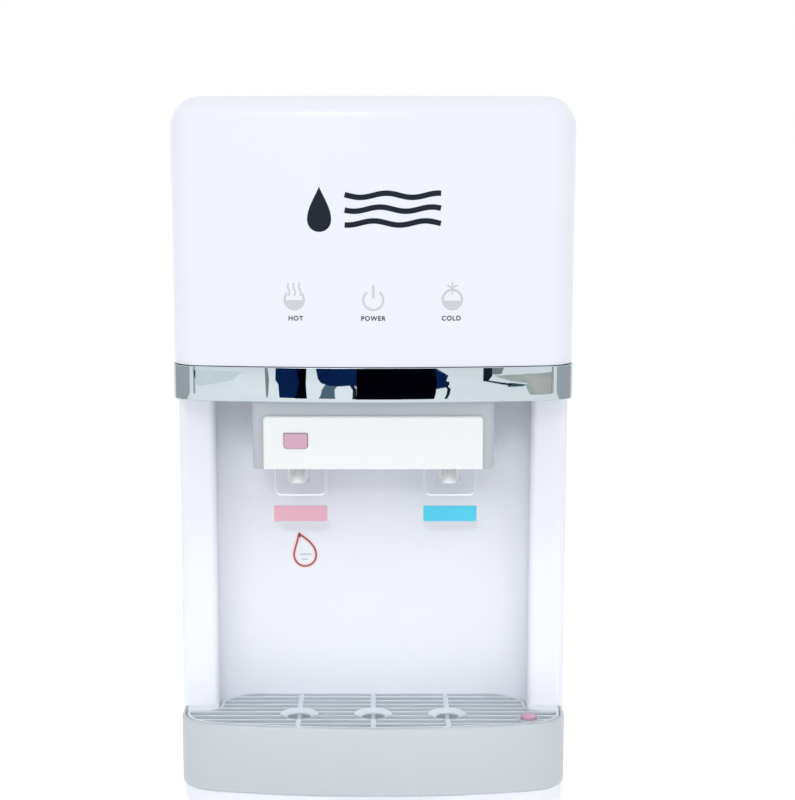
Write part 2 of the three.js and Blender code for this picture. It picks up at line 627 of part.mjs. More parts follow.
function dripGrille() {
  const outline = prismZ(wellShape(0.6), GRILLE_BOTTOM, BASE_TOP);
  const frame = cut(outline, prismZ(wellShape(3.6), GRILLE_BOTTOM - 1, BASE_TOP + 1));
  const z0 = GRILLE_BOTTOM + 1;
  const slats = [];
  for (let i = 0; i < SLAT_COUNT; i += 1) {
    const y = SLAT_FIRST_Y + i * SLAT_PITCH;
    slats.push(box(-HALF_WIDTH, HALF_WIDTH, y - 1.5, y + 1.5, z0, BASE_TOP));
  }
  const ribs = RING_XS.map((x) => box(x - 1.8, x + 1.8, FRONT_Y, RECESS_WALL_Y, z0, BASE_TOP));
  const bars = joined(...slats, ...ribs).intersect(outline);
  const { outerRadius, innerRadius, drop } = CUP_REST;
  const dishes = RING_XS.map((x) => turnedZ([
    [innerRadius, z0], [outerRadius, z0], [outerRadius, BASE_TOP], [innerRadius, BASE_TOP - drop],
    [innerRadius, z0],
  ], x, RING_Y, 20));
  const eyes = RING_XS.map((x) => cylinder('z', outerRadius - 1, z0 - 1, BASE_TOP + 1, [x, RING_Y], 20));
  const eyelet = cylinder('z', FLOAT.radius + 3, z0, BASE_TOP, [FLOAT.x, FLOAT.y], 12);
  const floatHole = cylinder('z', FLOAT.radius + 0.6, z0 - 1, BASE_TOP + 1, [FLOAT.x, FLOAT.y], 12);
  const grid = joined(frame, cut(bars, ...eyes), ...dishes, eyelet);
  add('drip_grille', cut(grid, floatHole), GREY, 0.4, 0.1);
}

function floatIndicator() {
  const bottom = PAN_BOTTOM + 2 + GAP;
  const profile = [
    [0, bottom], [5.5, bottom], [5.5, bottom + 14], [FLOAT.radius, bottom + 17],
    [FLOAT.radius, FLOAT.top - 1], [FLOAT.radius - 1, FLOAT.top], [0, FLOAT.top],
  ];
  add('float_indicator', turnedZ(profile, FLOAT.x, FLOAT.y, 12), PINK, 0.35);
}

// ---------------------------------------------------------------- cold side

function topLid() {
  const plate = prismZ(roundedRect(
    -LID_HALF, LID_HALF, TANK.y - LID_HALF, TANK.y + LID_HALF, 17.6,
  ), HEIGHT - LID_THICKNESS, HEIGHT);
  const boss = cylinder('z', TANK.radius + 5, 459, HEIGHT - 1, [TANK.x, TANK.y], 20);
  const grip = box(-22, 22, TANK.y - LID_HALF - 1, TANK.y - LID_HALF + 9, HEIGHT - 2, HEIGHT + 1);
  add('top_lid', cut(joined(plate, boss), grip), WHITE, 0.4);
}

function coldTank() {
  const { x, y, radius, wall, bottom, top } = TANK;
  add('cold_tank', turnedZ([
    [0, bottom], [radius, bottom], [radius, top - 2], [radius + 6, top - 2], [radius + 6, top],
    [radius - wall, top], [radius - wall, bottom + wall], [0, bottom + wall],
  ], x, y, 20), STEEL, 0.3, 0.9);
  add('tank_gasket', turnedZ([
    [radius - 1, top + GAP], [radius + 5.5, top + GAP], [radius + 5.5, 458.7], [radius - 1, 458.7],
    [radius - 1, top + GAP],
  ], x, y, 20), BLACK, 0.9);
  add('evaporator_coil', coil('z', [x, y, 355], radius + 6, 3, 5, 90, 14), COPPER, 0.35, 0.9);
  const jacket = turnedZ([
    [0, bottom - 6], [radius + 24, bottom - 6], [radius + 24, top - 8], [radius + 11.5, top - 8],
    [radius + 11.5, bottom - GAP], [0, bottom - GAP],
  ], x, y, 20);
  add('cold_tank_jacket', cut(jacket, cylinder('z', 5, bottom - 8, bottom + 1, [30, 5], 12)), WHITE, 0.95);
}

const FLOAT_HINGE = { y: 66, z: 432 };

function floatValve() {
  const body = box(-9, 9, FLOAT_HINGE.y + 5, FLOAT_HINGE.y + 19, 422, 446);
  const ears = [-7.5, 7.5].map((x) => (
    box(x - 1.5, x + 1.5, FLOAT_HINGE.y - 4, FLOAT_HINGE.y + 6, 427, 437)
  ));
  const bores = cylinder('x', 1.7, -12, 12, [FLOAT_HINGE.y, FLOAT_HINGE.z], 10);
  add('float_valve_body', cut(joined(body, ...ears), bores), WHITE, 0.5);
  const pin = cylinder('x', 1.4, -8.8, 8.8, [FLOAT_HINGE.y, FLOAT_HINGE.z], 10);
  const hub = cylinder('x', 3.5, -5.4, 5.4, [FLOAT_HINGE.y, FLOAT_HINGE.z], 12);
  const rod = tubeThrough([[0, FLOAT_HINGE.y - 1, 432], [0, 48, 430], [0, 24, 422], [0, 10, 414]], 1.6, 5);
  const ball = solid(new THREE.SphereGeometry(15, 12, 8).translate(0, 6, 405));
  add('float_arm', joined(pin, hub, rod, ball), WHITE, 0.5);
}

// ---------------------------------------------------------------- hot side and machine space

function hotTank() {
  const { x, y, radius, bottom, top } = HOT_TANK;
  const wall = 1.5;
  add('hot_tank', turnedZ([
    [0, bottom], [radius, bottom], [radius, top - 4], [7, top], [7, top + 11], [5, top + 11],
    [5, top - wall], [radius - wall, top - 4 - wall], [radius - wall, bottom + wall], [0, bottom + wall],
  ], x, y), STEEL, 0.3, 0.9);
  add('heater_band', turnedZ([
    [radius + GAP, 150], [radius + 3, 150], [radius + 3, 180], [radius + GAP, 180], [radius + GAP, 150],
  ], x, y), STEEL, 0.4, 0.8);
}

function supplyTubes() {
  const portEndY = TAP_Y + 23 + GAP;
  add('cold_supply_tube', tubeThrough([
    [TAP_X, portEndY, TAP_PORT_Z], [TAP_X, -100, TAP_PORT_Z], [TAP_X - 4, -50, TAP_PORT_Z + 2],
    [34, -5, 262], [30, 5, 280], [30, 5, TANK.bottom - GAP],
  ], 4, 16), CLEAR, 0.4);
  add('hot_supply_tube', tubeThrough([
    [-TAP_X, portEndY, TAP_PORT_Z], [-TAP_X, -105, TAP_PORT_Z], [-TAP_X - 4, -70, TAP_PORT_Z + 3],
    [HOT_TANK.x, -46, TAP_PORT_Z + 1], [HOT_TANK.x, HOT_TANK.y, HOT_TANK.top + 11 + GAP],
  ], 4, 16), CLEAR, 0.4);
}

function compressor() {
  const { x, y, radius, bottom, top } = COMPRESSOR;
  add('compressor', turnedZ([
    [0, bottom], [radius - 12, bottom], [radius - 3, bottom + 6], [radius, bottom + 20],
    [radius, top - 26], [radius - 5, top - 12], [radius - 20, top - 3], [0, top],
  ], x, y), BLACK, 0.4, 0.2);
  const floorZ = FOOT_HEIGHT + 3 + GAP;
  add('compressor_bracket', box(x - 58, x + 58, y - 55, y + 55, floorZ, floorZ + 2.8), STEEL, 0.5, 0.8);
}

function condenser() {
  const [x0, x1, z0, z1] = [-96, 96, 165, 260];
  const fins = [];
  for (let i = 0; i < 25; i += 1) {
    const x = x0 + i * 8;
    fins.push(box(Math.max(x - 0.6, x0), Math.min(x + 0.6, x1), 162, 180, z0, z1));
  }
  add('condenser', joined(box(x0, x1, 179, 182, z0, z1), ...fins), STEEL, 0.5, 0.8);
}

function coolingFan() {
  const { x, y, z, half } = FAN;
  const [y0, y1] = [y - 12.5, y + 12.5];
  const shroud = cut(
    prismY(roundedRect(x - half, x + half, z - half, z + half, 4), y0, y1, 1),
    cylinder('y', half - 3, y0 - 1, y1 + 1, [x, z], 20),
  );
  const spokes = [
    box(x - half + 1, x + half - 1, y0, y0 + 3, z - 2, z + 2),
    box(x - 2, x + 2, y0, y0 + 3, z - half + 1, z + half - 1),
  ];
  const seat = cylinder('y', 14, y0, y0 + 4, [x, z], 16);
  add('fan_frame', joined(shroud, ...spokes, seat), BLACK, 0.6);
  const bladeRoot = 12;
  const blades = [];
  for (let i = 0; i < 5; i += 1) {
    const blade = new THREE.BoxGeometry(half - 5 - bladeRoot, 1.6, 15);
    blade.rotateX(0.6).translate((half - 5 + bladeRoot) / 2, 0, 0);
    blade.rotateY((i / 5) * Math.PI * 2).translate(x, y + 2, z);
    blades.push(solid(blade));
  }
  const hub = cylinder('y', 14.5, y0 + 4 + GAP, y1 - 2, [x, z], 16);
  add('fan_rotor', joined(hub, ...blades), BLACK, 0.6);
}

function filters() {
  const { y, radius, bottom, top } = FILTER;
  for (const [name, x] of [['sediment_filter', 32], ['carbon_filter', 92]]) {
    add(name, turnedZ([
      [0, bottom], [radius - 6, bottom], [radius, bottom + 6], [radius, top - 8], [radius - 10, top],
      [9, top], [9, top + 7.7], [0, top + 7.7],
    ], x, y, 16), WHITE, 0.45);
  }
  const z0 = top + 8;
  const block = box(6, 118, y - 18, y + 18, z0, z0 + 20);
  const ports = [20, 104].map((x) => cylinder('z', 5, z0 + 19, z0 + 30, [x, y + 6], 12));
  add('filter_head', joined(block, ...ports), BLUE, 0.45);
}

function boards() {
  const board = box(-70, 70, -187, -185.4, 330, 366);
  const lamps = [-TAP_X, 0, TAP_X].map((x) => cylinder('y', 2.5, -191, -186, [x, 349], 10));
  const chip = box(14, 34, -186, -182, 334, 344);
  add('indicator_board', joined(board, ...lamps, chip), 0x2f6b45, 0.6);
  const mains = box(-122, -120.4, 30, 140, 40, 150);
  const relays = [60, 84].map((z) => box(-121, -106, 50, 68, z, z + 18));
  const capacitor = cylinder('x', 9, -121, -98, [105, 80], 14);
  const sink = box(-121, -100, 40, 46, 110, 142);
  add('power_board', joined(mains, ...relays, capacitor, sink), 0x2f6b45, 0.6);
}

// ---------------------------------------------------------------- rear fittings

// A three-pin appliance inlet: flange outside the panel, body through it, pins in the mouth.
function powerInlet() {
  const { x, z, halfWidth, halfHeight } = SOCKET;
  const flangeY = BODY_BACK_Y + GAP;
  const flange = prismY(roundedRect(x - 24, x + 24, z - 13, z + 13, 4), flangeY, flangeY + 2.5, 2);
  const body = box(x - halfWidth, x + halfWidth, flangeY - 24, flangeY + 1, z - halfHeight, z + halfHeight);
  const mouth = box(x - 12, x + 12, flangeY - 14, flangeY + 4, z - 8.2, z + 8.2);
  const pins = [[-7, -1], [0, 3], [7, -1]].map(([dx, dz]) => (
    box(x + dx - 1, x + dx + 1, flangeY - 16, flangeY - 1, z + dz - 2, z + dz + 2)
  ));
  add('power_inlet', joined(cut(joined(flange, body), mouth), ...pins), BLACK, 0.5);
}

// A rocker, tilted to its switched-on side.
function rocker(x) {
  const { z, halfWidth, halfHeight, tilt } = SWITCH;
  const profile = new THREE.Shape();
  profile.moveTo(-6, -halfHeight + 1);
  profile.lineTo(-6, halfHeight - 1);
  profile.lineTo(4.5, halfHeight);
  profile.lineTo(3, 0);
  profile.lineTo(4.5, -halfHeight);
  const geometry = geometryOf(prismX(profile, x - halfWidth, x + halfWidth));
  geometry.rotateX(THREE.MathUtils.degToRad(-tilt)).translate(0, BODY_BACK_Y, z);
  return solid(geometry);
}

function switches() {
  add('hot_switch', rocker(SWITCH.xs[0]), 0xb3242b, 0.35);
  add('cold_switch', rocker(SWITCH.xs[1]), 0x1f8a4c, 0.35);
}

function waterFittings() {
  const outside = BODY_BACK_Y + GAP;
  const inside = BACK_PLATE_Y - GAP;
  add('water_inlet_fitting', turnedY([
    [1.9, inside - 12], [6, inside - 12], [6, inside - 3], [INLET.radius, inside - 3],
    [INLET.radius, outside], [10.5, outside], [10.5, outside + 3], [6.5, outside + 3.5],
    [6.5, REAR_Y], [1.9, REAR_Y], [1.9, inside - 12],
  ], INLET.x, INLET.z), WHITE, 0.4);
  add('drain_fitting', turnedY([
    [1.9, inside - 12], [6, inside - 12], [6, inside - 3], [DRAIN.radius, inside - 3],
    [DRAIN.radius, outside], [10.5, outside], [10.5, outside + 1.2], [4.5, outside + 1.2],
    [4.5, REAR_Y - 2.2], [1.9, REAR_Y - 2.2], [1.9, inside - 12],
  ], DRAIN.x, DRAIN.z), WHITE, 0.4);
  add('drain_cap', turnedY([
    [0, REAR_Y], [7.5, REAR_Y], [8.5, REAR_Y - 1], [8.5, outside + 1.5], [4.8, outside + 1.5],
    [4.8, REAR_Y - 1.9], [0, REAR_Y - 1.9],
  ], DRAIN.x, DRAIN.z), BLACK, 0.8);
}

basePan();
feet();
baseFrontCover();
recessPanel();
sidePanels();
rearCover();
servicePanel();
topCover();
headFrontCover();
chromeTrim();
headFloor();
faucetHousing();
faucetFace();
hotLockButton();
taps();
dripPan();
dripGrille();
floatIndicator();
topLid();
coldTank();
floatValve();
hotTank();
supplyTubes();
compressor();
condenser();
coolingFan();
filters();
boards();
powerInlet();
switches();
waterFittings();

export default group;
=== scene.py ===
"""Looks of a countertop hot and cold water dispenser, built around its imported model.

The functions work in millimetres and MM turns them into metres.
+Z is up, -Y is the front and +X is to the right of someone who faces the front.
"""

import json
import math

import bmesh
import bpy
from mathutils import Matrix, Vector


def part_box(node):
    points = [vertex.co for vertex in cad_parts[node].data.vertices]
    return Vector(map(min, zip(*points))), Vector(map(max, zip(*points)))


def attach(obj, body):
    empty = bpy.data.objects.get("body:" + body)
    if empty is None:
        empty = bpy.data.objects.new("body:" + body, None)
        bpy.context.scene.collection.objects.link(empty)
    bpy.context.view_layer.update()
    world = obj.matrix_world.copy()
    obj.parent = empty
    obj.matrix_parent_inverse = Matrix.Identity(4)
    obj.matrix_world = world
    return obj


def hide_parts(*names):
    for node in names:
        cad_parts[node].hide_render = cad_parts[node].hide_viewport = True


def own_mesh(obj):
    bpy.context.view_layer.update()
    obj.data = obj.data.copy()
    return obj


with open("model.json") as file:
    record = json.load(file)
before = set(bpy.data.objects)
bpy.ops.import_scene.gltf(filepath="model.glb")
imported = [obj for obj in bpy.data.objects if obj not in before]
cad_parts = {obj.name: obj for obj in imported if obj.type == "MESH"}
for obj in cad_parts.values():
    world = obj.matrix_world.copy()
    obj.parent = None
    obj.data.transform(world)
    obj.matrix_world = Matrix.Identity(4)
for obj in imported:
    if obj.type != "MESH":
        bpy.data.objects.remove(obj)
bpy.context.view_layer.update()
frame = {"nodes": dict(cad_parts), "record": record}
MM = 0.001
SCENE = bpy.context.scene


# ---- numbers from the frame


def span(node):
    """x0, x1, y0, y1, z0, z1 of a CAD node in millimetres."""
    lo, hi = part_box(node)
    return [v / MM for v in (lo.x, hi.x, lo.y, hi.y, lo.z, hi.z)]


def centre_of(node):
    """The middle of a CAD node's box."""
    x0, x1, y0, y1, z0, z1 = span(node)
    return (x0 + x1) / 2, (y0 + y1) / 2, (z0 + z1) / 2


def plan_of(node, bow, corner):
    """A bowed plan: half width, front, radius of the bow and radius of its corners."""
    _, x1, y0, _, _, _ = span(node)
    return x1, y0, bow, corner


BASE_PLAN = plan_of("base_front_cover", 520, 26)
BAND_PLAN = plan_of("chrome_trim", 640, 18)
HEAD_PLAN = plan_of("head_front_cover", 640, 17)
PLINTH_PLAN = plan_of("base_pan", 520, 26)
HALF_WIDTH = BAND_PLAN[0]
HEAD_BACK, HEAD_BOTTOM, TOP = span("head_front_cover")[3:]
BASE_BOTTOM, BASE_TOP = span("base_front_cover")[4:]
BACK = span("rear_cover")[3]

# Places and sizes that are not a box of the frame, in millimetres.
PILLAR_FRONT = -148.0
RECESS_WALL = -120.0
LEDGE_FRONT = -157.5
PILLAR_INNER = 105.0
FILLET_ACROSS, FILLET_DEEP = 28.0, 24.0
LEDGE_RADIUS = 9.0
HEAD_RADIUS = 20.0
WALL = 2.5
TAPS = {"hot": -50.0, "cold": 50.0}
TAP_Y = -163.0
PORT_Z = 250
CUPS = (-50, 0, 50)
CUP_Y = -166.0
RIB_HALF = 1.8
SWITCHES = ("hot_switch", "cold_switch")
SWITCH_Z = 100
LEVER_Y = -150.0
HINGE_Z = 273.0


# ---- mesh building


def add_object(name, data):
    obj = bpy.data.objects.new(name, data)
    SCENE.collection.objects.link(obj)
    return obj


def finish_mesh(obj, angle=38):
    """Faces outwards, smooth where the surface bends less than the angle, flat faces kept flat."""
    mesh = obj.data
    bm = bmesh.new()
    bm.from_mesh(mesh)
    bmesh.ops.remove_doubles(bm, verts=bm.verts, dist=1e-6)
    bmesh.ops.dissolve_degenerate(bm, edges=bm.edges, dist=1e-7)
    bmesh.ops.recalc_face_normals(bm, faces=bm.faces)
    bm.to_mesh(mesh)
    bm.free()
    for polygon in mesh.polygons:
        polygon.use_smooth = True
    mesh.set_sharp_from_angle(angle=math.radians(angle))
    return obj


def mesh_object(name, verts, faces):
    mesh = bpy.data.meshes.new(name)
    mesh.from_pydata([(x * MM, y * MM, z * MM) for x, y, z in verts], [], faces)
    return finish_mesh(add_object(name, mesh))


def between(count, width, loop=False, ring=False):
    """Faces between rows of points. loop joins a row's ends, ring joins the last row to the first."""

    def at(i, j):
        return (i % count) * width + j % width

    return [
        [at(i, j), at(i, j + 1), at(i + 1, j + 1), at(i + 1, j)]
        for i in range(count if ring else count - 1)
        for j in range(width if loop else width - 1)
    ]


def skin(name, rows, loop, ring=False):
    """A mesh through rows of points. Where only one way is joined, the open ends are capped."""
    count, width = len(rows), len(rows[0])
    faces = between(count, width, loop, ring)
    if loop and not ring:
        faces += [[i * width + j for j in range(width)] for i in (0, count - 1)]
    if ring and not loop:
        faces += [[i * width + j for i in range(count)] for j in (0, width - 1)]
    return mesh_object(name, [p for row in rows for p in row], faces)


def placed(a, b, h, plane):
    """A point of a plane, at a height above it, in the object's frame."""
    return {"xy": (a, b, h), "xz": (a, h, b), "yz": (h, a, b)}[plane]


def sweep(name, path, section, loop=True, ring=False, plane="xy"):
    """The path, drawn in by each offset of the section, at each of its heights."""
    rows = [[placed(a, b, h, plane) for a, b in path(offset)] for offset, h in section]
    return skin(name, rows, loop, ring)


def prism(path, start, end, plane="xy"):
    """A tool with one outline from one height to the other."""
    return sweep("tool", path, [(0, start), (0, end)], plane=plane)


def fillet(points, radii, steps=4):
    """A polygon's corners rounded with the given radii."""
    out = []
    for i, (point, radius) in enumerate(zip(points, radii)):
        corner = Vector(point)
        if not radius:
            out.append(tuple(corner))
            continue
        before = (Vector(points[i - 1]) - corner).normalized()
        after = (Vector(points[(i + 1) % len(points)]) - corner).normalized()
        half = before.angle(after) / 2
        centre = corner + (before + after).normalized() * (radius / math.sin(half))
        start = corner + before * (radius / math.tan(half)) - centre
        end = corner + after * (radius / math.tan(half)) - centre
        turn = start.angle(end)
        for k in range(steps + 1):
            t = k / steps
            a = math.sin((1 - t) * turn) / math.sin(turn)
            b = math.sin(t * turn) / math.sin(turn)
            out.append(tuple(centre + start * a + end * b))
    return out


def arc(cx, cy, radius, start, end, steps, deep=None):
    """Points of a circular arc, or of an elliptic one when its second radius is given."""
    points = []
    for i in range(steps + 1):
        angle = math.radians(start + (end - start) * i / steps)
        points.append((cx + radius * math.cos(angle), cy + (deep or radius) * math.sin(angle)))
    return points


def recess_corner(side, inset, start, end, steps):
    """A rear corner of the recess, a quarter of an ellipse."""
    cx, cy = side * (PILLAR_INNER - FILLET_ACROSS), RECESS_WALL - FILLET_DEEP
    return arc(cx, cy, FILLET_ACROSS - inset, start, end, steps, FILLET_DEEP - inset)


def bowed(plan, back_y, inset, close=False):
    """The bowed outline from its left back corner, round the front, to its right back corner."""
    half, front, bow, corner = plan
    centre_y = front + bow
    half, bow, corner = half - inset, bow - inset, corner - inset
    cx = half - corner
    cy = centre_y - math.sqrt((bow - corner) ** 2 - cx**2)
    turn = math.degrees(math.atan2(cx, centre_y - cy))
    back = back_y - inset if close else back_y
    points = [(-half, back)]
    points += arc(-cx, cy, corner, 180, 270 - turn, 12)
    points += arc(0, centre_y, bow, 270 - turn, 270 + turn, 56)[1:-1]
    points += arc(cx, cy, corner, 270 + turn, 360, 12)
    return points + [(half, back)]


def bow_y(plan, x):
    _, front, bow, _ = plan
    return front + bow - math.sqrt(bow**2 - x**2)


def four_arcs(a, b, c, d, low, high, low_steps, high_steps):
    """The corners of a box a to b by c to d, with one radius below and one above."""
    points = arc(b - low, c + low, low, 270, 360, low_steps)
    points += arc(b - high, d - high, high, 0, 90, high_steps)
    points += arc(a + high, d - high, high, 90, 180, high_steps)
    return points + arc(a + low, c + low, low, 180, 270, low_steps)


def rounded(x0, x1, y0, y1, radius, steps=6):
    """A path function for a rounded rectangle."""

    def path(inset):
        r = max(radius - inset, 0.05)
        return four_arcs(x0 + inset, x1 - inset, y0 + inset, y1 - inset, r, r, steps, steps)

    return path


def circle(cx, cy, radius, steps=48):
    return lambda inset: arc(cx, cy, radius - inset, 0, 360, steps)[:-1]


def well(inset):
    """The drip tray's outline: bowed front, stepped in at the ledges, round at the recess corners."""
    ledge_x, ledge_y = PILLAR_INNER + LEDGE_RADIUS, LEDGE_FRONT + LEDGE_RADIUS
    points = recess_corner(-1, inset, 90, 180, 14)
    points += arc(-ledge_x, ledge_y, LEDGE_RADIUS + inset, 0, -90, 10)
    points += bowed(BASE_PLAN, LEDGE_FRONT - inset, WALL + inset)
    points += arc(ledge_x, ledge_y, LEDGE_RADIUS + inset, -90, -180, 10)
    points += recess_corner(1, inset, 0, 90, 14)
    return points


def lathe(name, profile, at, plane="xy", steps=48):
    """A turned piece: (radius, height) points, closed, about a place in the plane."""
    rows = []
    for i in range(steps):
        turn = 2 * math.pi * i / steps
        cos, sin = math.cos(turn), math.sin(turn)
        rows.append([placed(at[0] + r * cos, at[1] + r * sin, h, plane) for r, h in profile])
    return skin(name, rows, loop=True, ring=True)


def block(name, x0, x1, y0, y1, z0, z1, edge):
    """A box with rounded edges."""
    corners = [(edge, z0), (0, z0), (0, z1), (edge + 0.01, z1)]
    section = fillet(corners, [0, edge * 0.6, edge * 0.6, 0], 3)
    return sweep(name, rounded(x0, x1, y0, y1, edge, 3), section)


def remove(obj):
    mesh = obj.data
    bpy.data.objects.remove(obj)
    bpy.data.meshes.remove(mesh)


def evaluated_mesh(obj):
    bpy.context.view_layer.update()
    depsgraph = bpy.context.evaluated_depsgraph_get()
    return bpy.data.meshes.new_from_object(obj.evaluated_get(depsgraph))


def bake(obj, angle=38):
    """Applies the modifiers."""
    mesh, old = evaluated_mesh(obj), obj.data
    obj.modifiers.clear()
    obj.data = mesh
    bpy.data.meshes.remove(old)
    mesh.name = obj.name
    return finish_mesh(obj, angle)


def merge(name, objects):
    """One object that holds several meshes as separate shells."""
    bm = bmesh.new()
    for obj in objects:
        bm.from_mesh(obj.data)
    mesh = bpy.data.meshes.new(name)
    bm.to_mesh(mesh)
    bm.free()
    for obj in objects:
        remove(obj)
    return finish_mesh(add_object(name, mesh))


def combine(obj, tools, operation="DIFFERENCE"):
    """Cuts the tools from an object, adds them to it or keeps what they share, one after the other."""
    for tool in tools:
        mod = obj.modifiers.new("combine", "BOOLEAN")
        mod.operation = operation
        mod.solver = "MANIFOLD"
        mod.object = tool
    bake(obj)
    for tool in tools:
        remove(tool)
    return obj


def bevel(obj, width, segments=2, limit=60):
    """Rounds the edges that bend more than the limit."""
    mod = obj.modifiers.new("edges", "BEVEL")
    mod.width = width * MM
    mod.segments = segments
    mod.limit_method = "ANGLE"
    mod.angle_limit = math.radians(limit)
    mod.use_clamp_overlap = True
    return bake(obj, 50)


def slot_prism(x, z, half_x, half_z, y0, y1, plane="xz"):
    """A tool with round ends, through a plate."""
    radius = min(half_x, half_z) - 0.01
    return prism(rounded(x - half_x, x + half_x, z - half_z, z + half_z, radius, 5), y0, y1, plane)


# ---- materials


class Nodes:
    """A material's node tree, with short ways to add to it."""

    def __init__(self, name):
        self.material = bpy.data.materials.new(name)
        self.material.use_nodes = True
        self.tree = self.material.node_tree
        self.shader = self.tree.nodes["Principled BSDF"]
        self.place = self.tree.nodes.new("ShaderNodeTexCoord").outputs["Object"]

    def node(self, kind, **values):
        made = self.tree.nodes.new(kind)
        for key, value in values.items():
            made.inputs[key.replace("_", " ")].default_value = value
        return made

    def link(self, a, b):
        self.tree.links.new(a, b)

    def noise(self, scale, detail=4.0, stretch=None):
        made = self.node("ShaderNodeTexNoise", Scale=scale, Detail=detail)
        source = self.place
        if stretch:
            mapping = self.node("ShaderNodeMapping", Scale=stretch)
            self.link(source, mapping.inputs["Vector"])
            source = mapping.outputs["Vector"]
        self.link(source, made.inputs["Vector"])
        return made.outputs["Fac"]

    def spread(self, source, low, high):
        """Turns a noise, mostly 0.3 to 0.7, into the given range."""
        made = self.node("ShaderNodeMapRange", From_Min=0.3, From_Max=0.7, To_Min=low, To_Max=high)
        self.link(source, made.inputs["Value"])
        return made.outputs["Result"]

    def blend(self, source, first, second):
        """Goes from one colour to another with a noise."""
        ramp = self.node("ShaderNodeValToRGB")
        for element, place, color in zip(ramp.color_ramp.elements, (0.3, 0.7), (first, second)):
            element.position = place
            element.color = (*color, 1)
        self.link(source, ramp.inputs["Fac"])
        return ramp.outputs["Color"]

    def bump(self, source, strength, distance):
        made = self.node("ShaderNodeBump", Strength=strength, Distance=distance)
        self.link(source, made.inputs["Height"])
        self.link(made.outputs["Normal"], self.shader.inputs["Normal"])

    def set(self, **values):
        for key, value in values.items():
            self.shader.inputs[key.replace("_", " ")].default_value = value

    def paint(self, color, roughness):
        """Links a base colour and a roughness that vary."""
        self.link(color, self.shader.inputs["Base Color"])
        self.link(roughness, self.shader.inputs["Roughness"])


def shade(color, factor):
    return tuple(min(c * factor, 1.0) for c in color)


MATERIALS = {}


def surface(name, color, roughness, grain, depth, variation, metallic=0.0, stretch=None, **sockets):
    """A moulded, painted, plated or rolled finish: faint cloudiness, uneven gloss and a fine grain."""
    made = Nodes(name)
    dark, light = shade(color, 1 - variation), shade(color, 1 + variation * 0.4)
    made.paint(
        made.blend(made.noise(14, 3.0), dark, light), made.spread(made.noise(60, 5.0, stretch), *roughness)
    )
    made.bump(made.noise(grain, 2.0, stretch), 0.35, depth)
    made.set(Metallic=metallic, **sockets)
    MATERIALS[name] = made.material


surface(
    "body_white", (0.765, 0.785, 0.85), (0.3, 0.34), 700, 1.2e-5, 0.006, Coat_Weight=0.1, Coat_Roughness=0.3,
)
surface("face_white", (0.775, 0.8, 0.81), (0.3, 0.34), 700, 1e-5, 0.005, IOR=1.48)
surface("silver_plastic", (0.502, 0.546, 0.576), (0.36, 0.44), 2600, 3e-5, 0.02, metallic=0.25)
surface("grey_plastic", (0.43, 0.465, 0.5), (0.36, 0.44), 1500, 3e-5, 0.02)
surface("chrome", (0.53, 0.6, 0.63), (0.006, 0.02), 30, 6e-6, 0.01, metallic=1.0)
surface("tap_plastic", (0.84, 0.86, 0.87), (0.25, 0.36), 800, 2e-5, 0.015)
surface("tray_grey", (0.42, 0.465, 0.51), (0.3, 0.4), 1500, 3e-5, 0.02)
# A lighter copy of tray_grey, for the grille's painted highlights.
surface("tray_painted_highlight", (0.66, 0.71, 0.76), (0.28, 0.36), 1500, 3e-5, 0.02)
# Painted glow: the drip pan's grey finish has a faint emission that lifts the shaded pan seen through the
# grille's rings.
surface(
    "pan_grey_painted_glow", (0.4, 0.445, 0.48), (0.3, 0.4), 1500, 3e-5, 0.02,
    Emission_Color=(0.85, 0.92, 1, 1), Emission_Strength=0.14,
)
surface("button_pink", (0.58, 0.35, 0.46), (0.3, 0.4), 900, 2e-5, 0.03)
# Frosted cut edge with a painted glow: the lever's lower window edge emits light, as if the clear plate
# gathered it.
surface(
    "cut_edge_painted_glow", (0.9, 0.91, 0.92), (0.4, 0.5), 900, 2e-5, 0.01, IOR=1.49,
    Emission_Color=(0.93, 0.95, 1, 1), Emission_Strength=0.5,
)
# Frosted side with a fainter painted glow, for the lever's sides and underside.
surface(
    "frosted_side_painted_glow", (0.76, 0.79, 0.82), (0.4, 0.5), 900, 2e-5, 0.01, IOR=1.49,
    Emission_Color=(0.93, 0.95, 1, 1), Emission_Strength=0.12,
)
surface("hot_pink", (0.7, 0.385, 0.475), (0.28, 0.4), 900, 2e-5, 0.03)
surface("float_pink", (0.55, 0.31, 0.42), (0.3, 0.4), 900, 2e-5, 0.03)
surface("cold_blue", (0.062, 0.55, 0.76), (0.28, 0.4), 900, 2e-5, 0.03)
surface("rubber_black", (0.03, 0.03, 0.032), (0.7, 0.85), 1600, 6e-5, 0.15)
surface("black_plastic", (0.028, 0.028, 0.032), (0.4, 0.55), 1400, 5e-5, 0.1)
surface("black_enamel", (0.018, 0.018, 0.02), (0.22, 0.34), 260, 6e-5, 0.1)
surface("steel", (0.58, 0.59, 0.61), (0.22, 0.38), 500, 2e-5, 0.04, 1.0, (1, 1, 14))
surface("zinc_plate", (0.55, 0.57, 0.6), (0.32, 0.5), 160, 3e-5, 0.08, 1.0)
surface("copper", (0.7, 0.36, 0.2), (0.25, 0.42), 400, 3e-5, 0.12, 1.0)
surface("aluminium", (0.66, 0.67, 0.69), (0.3, 0.45), 400, 2e-5, 0.05, 1.0, (1, 1, 9))
surface("foam", (0.86, 0.86, 0.84), (0.85, 0.95), 260, 4e-4, 0.04)
surface("circuit_board", (0.03, 0.17, 0.07), (0.35, 0.5), 380, 5e-5, 0.2)
surface("switch_red", (0.52, 0.02, 0.03), (0.2, 0.3), 900, 2e-5, 0.05)
surface("switch_green", (0.02, 0.33, 0.1), (0.2, 0.3), 900, 2e-5, 0.05)
surface("print_grey", (0.55, 0.57, 0.6), (0.4, 0.5), 900, 1e-5, 0.05)
